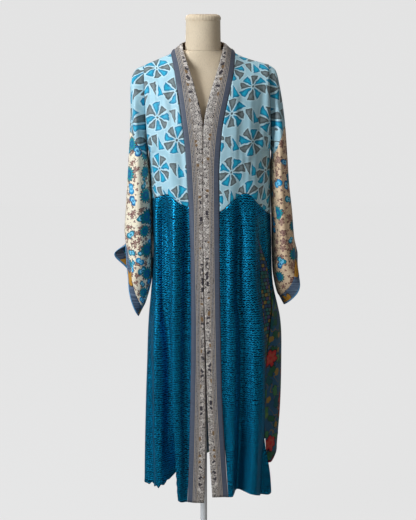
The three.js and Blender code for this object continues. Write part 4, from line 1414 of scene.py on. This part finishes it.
def paint_sleeve(net, cloth, blues=0.5, teals=0.46, leaves=44,
                 creams=((0.86, 0.73, 0.52), (1.0, 0.91, 0.72))):
    ground = net.blend(net.noise(cloth, 20, 3.0), *creams)
    color = vines(net, ground, cloth, 42, (0.22, 0.10, 0.08), 0.008)
    browns = [(0.17, 0.065, 0.05), (0.27, 0.13, 0.10), (0.20, 0.085, 0.075)]
    color = print_motif(net, color, cloth, 80, 3, 0.7, 0.38, 0.31, browns, keep=0.5)
    color = print_motif(net, color, cloth, leaves, 5, 0.55, 0.38, 0.13, browns, keep=0.75,
                        core=(0.42, 0.26, 0.20))
    color = print_motif(net, color, cloth, 27, 2, 0.66, 0.40, 0.57,
                        [(0.006, 0.16, 0.40), (0.003, 0.22, 0.30), (0.01, 0.30, 0.60)], keep=blues,
                        core=(0.20, 0.62, 0.86), line=(0.02, 0.05, 0.12))
    return print_motif(net, color, cloth, 16.5, 13, 0.36, 0.34, 0.77,
                       [(0.003, 0.25, 0.26), (0.004, 0.33, 0.35)], keep=teals,
                       core=(0.01, 0.13, 0.36), line=(0.01, 0.05, 0.08), edge=0.03)


def paint_shaded_sleeve(net, cloth):
    """The left sleeve, cut where the print has more brown leaves and fewer blue flowers. Its
    darker, warmer cream ground is painted shade, for the side that hangs away from the key light.
    """
    # The darker creams here are painted shade; the fewer flowers are the print
    return paint_sleeve(net, cloth, 0.26, 0.24, 35, ((0.72, 0.50, 0.31), (0.90, 0.69, 0.46)))


# The strip of blue silk at the open end of a cuff, in metres
EDGE_STRIP = 0.006


def paint_cuff(net, cloth):
    streak = net.noise(net.vector("MULTIPLY", cloth, (14, 220, 1)), 1.0, 3.0)
    ground = net.blend(net.step(streak, 0.35, 0.7), (0.055, 0.085, 0.14), (0.16, 0.22, 0.31))
    color = print_motif(net, ground, cloth, 15, 7, 0.5, 0.48, 0.42, [(0.55, 0.26, 0.03)], keep=0.5,
                        line=(0.05, 0.04, 0.03), edge=0.03)
    from_rim, _ = net.split(net.add("ShaderNodeUVMap", uv_map="rim").outputs[0])
    return net.blend(net.step(from_rim, EDGE_STRIP, EDGE_STRIP * 0.7), color, (0.10, 0.33, 0.58))


def paint_back(net, cloth):
    ground = net.blend(net.noise(cloth, 18, 3.0), (0.012, 0.055, 0.115), (0.036, 0.130, 0.22))
    color = vines(net, ground, cloth, 22, (0.20, 0.13, 0.05), 0.014)
    color = print_motif(net, color, cloth, 24, 2, 0.6, 0.46, 0.21,
                        [(0.02, 0.10, 0.05), (0.05, 0.17, 0.07), (0.01, 0.09, 0.10)],
                        line=(0.005, 0.015, 0.015), ragged=0.012)
    color = print_motif(net, color, cloth, 29, 1, 0.5, 0.38, 0.63,
                        [(0.10, 0.20, 0.06), (0.28, 0.17, 0.04), (0.02, 0.16, 0.22)], keep=0.5,
                        ragged=0.010)
    return print_motif(net, color, cloth, 12.5, 6, 0.34, 0.34, 0.74,
                       [(0.38, 0.008, 0.02), (0.46, 0.03, 0.03), (0.28, 0.008, 0.04)], keep=0.5,
                       core=(0.46, 0.08, 0.05), line=(0.03, 0.005, 0.01), edge=0.03, ragged=0.016)


def paint_facing(net, cloth):
    tile = net.use(TILES, Cloth=cloth)
    inks = [(0.02, 0.13, 0.11), (0.10, 0.17, 0.13), (0.28, 0.20, 0.05), (0.03, 0.08, 0.17),
            (0.09, 0.08, 0.19), (0.03, 0.16, 0.15)]
    return net.blend(tile["Tile"], (0.006, 0.008, 0.012), motif_color(net, tile["Chance"], inks))


# Widths across the neck band, from its outer edge, in metres
PLAIN_END, LINE_WIDTH, DOTTED_END = 0.0170, 0.0017, 0.0290


def paint_band(net, cloth):
    across, _ = net.split(cloth)
    slate = net.blend(net.noise(net.vector("MULTIPLY", cloth, (60, 500, 1)), 1.0, 3.0),
                      (0.048, 0.058, 0.086), (0.125, 0.145, 0.195))
    dots = net.use(MOTIF, Cloth=cloth, Scale=185.0, Petals=3, Depth=0.3, Size=0.42, Shift=0.2)
    dotted = net.blend(net.step(dots["Inside"], 0.0, 0.06), (0.16, 0.17, 0.20),
                       (0.030, 0.036, 0.055))
    cream = net.blend(net.noise(cloth, 90, 3.0), (0.46, 0.40, 0.34), (0.78, 0.72, 0.66))
    floral = vines(net, cream, cloth, 95, (0.05, 0.04, 0.045), 0.04)
    floral = print_motif(net, floral, cloth, 88, 5, 0.5, 0.50, 0.11,
                         [(0.035, 0.028, 0.032), (0.11, 0.085, 0.085), (0.06, 0.042, 0.035)],
                         core=(0.60, 0.53, 0.47), edge=0.05)
    floral = print_motif(net, floral, cloth, 50, 2, 0.6, 0.36, 0.53,
                         [(0.22, 0.13, 0.06), (0.05, 0.042, 0.05)], keep=0.45, edge=0.04)
    color = net.blend(net.math("GREATER_THAN", across, PLAIN_END), slate, dotted)
    color = net.blend(net.math("GREATER_THAN", across, DOTTED_END), color, floral)
    # Thin lines at both edges of the dotted stripe, and again a little inside them
    for place in (PLAIN_END, PLAIN_END + 0.0042, DOTTED_END - 0.0036, DOTTED_END):
        line = net.step(net.size(net.minus(across, place)), LINE_WIDTH * 0.62, LINE_WIDTH * 0.3)
        color = net.blend(line, color, (0.48, 0.39, 0.30))
    return color


# For each silk: the print, the roughness, and what differs from the silk maker's usual look
LOOKS = {
    "yoke_silk": (paint_yoke, 0.50, {"slub": 0.35, "inner": 0.55}),
    "sleeve_silk": (paint_sleeve, 0.52, {"slub": 0.3, "inner": 0.55}),
    # The left sleeve's silk: the same print with fewer blue flowers, on a ground darkened as
    # painted shade
    "brown_sleeve_silk": (paint_shaded_sleeve, 0.52, {"slub": 0.3, "inner": 0.55}),
    "cuff_border": (paint_cuff, 0.50, {"slub": 0.9, "inner": 0.75}),
    "skirt_silk": (paint_skirt, 0.40, {"slub": 0.2, "weave_bump": 0.08, "inner": 0.22,
                                       "sheen": 0.0, "gloss": 0.12, "satin": 0.72}),
    "back_silk": (paint_back, 0.45, {"slub": 0.3, "inner": 0.35, "sheen": 0.0, "gloss": 0.25}),
    "facing_silk": (paint_facing, 0.5, {"slub": 0.3}),
    "neck_band": (paint_band, 0.45, {"slub": 0.8, "weave_bump": 0.35, "inner": 0.8}),
}
SILKS = {name: silk(name, paint, roughness, **rest)
         for name, (paint, roughness, rest) in LOOKS.items()}

# %% [markdown]
# ## Linen, steel and paint
# The form is covered in ecru linen with soft blotches. On the cap the linen is gathered in
# rays and darker in the middle. The stand stays plain, with a little scuffing.

# %% Form and stand materials
def linen(name, gathers):
    material, net, shader = new_material(name)
    place = net.add("ShaderNodeTexCoord").outputs["Object"]
    blotch = net.noise(place, 14, 4.0)
    color = net.blend(blotch, (0.66, 0.51, 0.34), (0.85, 0.71, 0.52))
    thread = net.noise(net.vector("MULTIPLY", place, (700, 700, 160)), 1.0, 2.0)
    color = net.blend(net.times(net.step(thread, 0.45, 0.75), 0.35), color, (0.50, 0.40, 0.28))
    height = net.plus(thread, net.noise(place, 90, 3.0))
    if gathers:
        x, y = net.split(place)
        far = net.distance(x, y)
        rays = net.math("SINE", net.times(net.math("ARCTAN2", y, x), 34))
        middle = net.step(far, 0.050, 0.024)
        color = net.blend(net.times(middle, 0.7), color, (0.24, 0.14, 0.09))
        height = net.plus(height, net.times(rays, net.step(far, 0.004, 0.05)))
    set_inputs(net, shader, {"Base Color": color, "Roughness": 0.9, "Sheen Weight": 0.15})
    bump(net, shader, height, 0.35, 0.001)
    return material


SCUFF = 0.16


def plain(name, color, roughness, metallic):
    material, net, shader = new_material(name)
    scuff = net.noise(net.add("ShaderNodeTexCoord").outputs["Object"], 60, 4.0)
    set_inputs(net, shader, {
        "Base Color": color, "Metallic": metallic,
        "Roughness": net.plus(roughness - SCUFF / 2, net.times(scuff, SCUFF))})
    return material


LINEN = linen("form_linen", False)
LINEN_CAP = linen("form_linen_cap", True)
STEEL = plain("pole_steel", (0.86, 0.86, 0.85), 0.45, 0.1)
PAINT = plain("base_paint", (0.66, 0.66, 0.65), 0.5, 0.0)


def dress(piece, *materials):
    """Gives a piece its materials. A sheet has two: its faces know which of them is theirs."""
    piece.data.materials.clear()
    for material in materials:
        piece.data.materials.append(material)


for node, slot in SLOTS.items():
    if slot in SILKS:
        dress(bpy.data.objects["cloth_" + node], *SILKS[slot])
# The lower left sleeve takes the sleeve print whose ground is darkened as painted shade
dress(bpy.data.objects["cloth_sleeve_left"], *SILKS["brown_sleeve_silk"])
for piece, material in ((torso, LINEN), (neck, LINEN), (cap, LINEN_CAP), (pole, STEEL),
                        (base, PAINT), (collar, PAINT)):
    dress(piece, material)
print("materials:", len(bpy.data.materials))

# %% [markdown]
# ## Studio
# A pale floor and wall, one broad cool light from the front left, a weak warm fill from the
# front right, and a soft light from above. The world looks pale to the camera but lights the
# silk only a little, or its folds would wash out.

# %% Backdrop, lights and camera
floor = added(bpy.ops.mesh.primitive_plane_add, "studio_floor", size=14, location=(0, 3.0, 0))
wall = added(bpy.ops.mesh.primitive_plane_add, "studio_wall", size=14, location=(0, 6.0, 0),
             rotation=(math.pi / 2, 0, 0))
# The paper mostly glows by itself, so only a faint shadow falls on it
PAPER, SHADOW_SHARE = (0.80, 0.80, 0.80), 0.05
paper = bpy.data.materials.new("paper")
paper.use_nodes = True
paper.node_tree.nodes.clear()
net = Net(paper.node_tree)
matte = net.add("ShaderNodeBsdfDiffuse")
net.plug(matte.inputs["Color"], PAPER)
glow = net.add("ShaderNodeEmission")
net.plug(glow.inputs["Color"], PAPER)
both = net.add("ShaderNodeMixShader")
net.plug(both.inputs["Fac"], 1 - SHADOW_SHARE)
net.tree.links.new(matte.outputs[0], both.inputs[1])
net.tree.links.new(glow.outputs[0], both.inputs[2])
net.plug(net.add("ShaderNodeOutputMaterial").inputs["Surface"], both.outputs[0])
for backdrop in (floor, wall):
    backdrop.data.materials.append(paper)
    backdrop.visible_diffuse = False
    backdrop.visible_glossy = False


def soft_light(name, where, aim, size, power, color, shines=True):
    """A rectangle of light at one place, turned to another."""
    light = added(bpy.ops.object.light_add, name, type="AREA", location=where)
    light.data.shape = "RECTANGLE"
    light.data.size, light.data.size_y = size
    light.data.energy = power
    light.data.color = color
    light.visible_glossy = shines
    direction = np.array(aim) - np.array(where)
    flat = math.hypot(direction[0], direction[1])
    light.rotation_euler = (math.pi / 2 + math.atan2(direction[2], flat), 0,
                            math.atan2(direction[1], direction[0]) - math.pi / 2)


COOL, WARM, WHITE = (0.93, 1.0, 1.08), (1.06, 1.0, 0.9), (1, 1, 1)
soft_light("key", (-2.5, -2.0, 2.3), (0, 0, 1.1), (1.2, 1.8), 104, COOL)
soft_light("fill", (1.6, -3.4, 1.6), (0, 0, 1.0), (2.0, 2.0), 13, WARM, shines=False)
soft_light("top", (-0.4, 0.6, 3.4), (0, 0, 1.2), (1.4, 1.4), 26, WHITE, shines=False)

CAMERA_PLACE, CAMERA_PITCH = (0.014, -2.678, 1.7922), 15.1076
camera = added(bpy.ops.object.camera_add, "Camera", location=CAMERA_PLACE,
               rotation=(math.radians(90 - CAMERA_PITCH), 0, 0))
camera.data.lens, camera.data.sensor_width = 62.45, 36
bpy.context.scene.camera = camera
world = bpy.data.worlds.new("studio")
world.use_nodes = True
net = Net(world.node_tree)
air = world.node_tree.nodes["Background"]
set_inputs(net, air, {"Color": (0.8, 0.82, 0.85), "Strength": 0.18})
beyond = net.add("ShaderNodeBackground")
net.plug(beyond.inputs["Color"], PAPER)
seen = net.add("ShaderNodeMixShader")
net.plug(seen.inputs["Fac"], net.add("ShaderNodeLightPath").outputs["Is Camera Ray"])
net.tree.links.new(air.outputs[0], seen.inputs[1])
net.tree.links.new(beyond.outputs[0], seen.inputs[2])
net.tree.links.new(seen.outputs[0], world.node_tree.nodes["World Output"].inputs["Surface"])
bpy.context.scene.world = world
bpy.context.scene.view_settings.view_transform = "Standard"
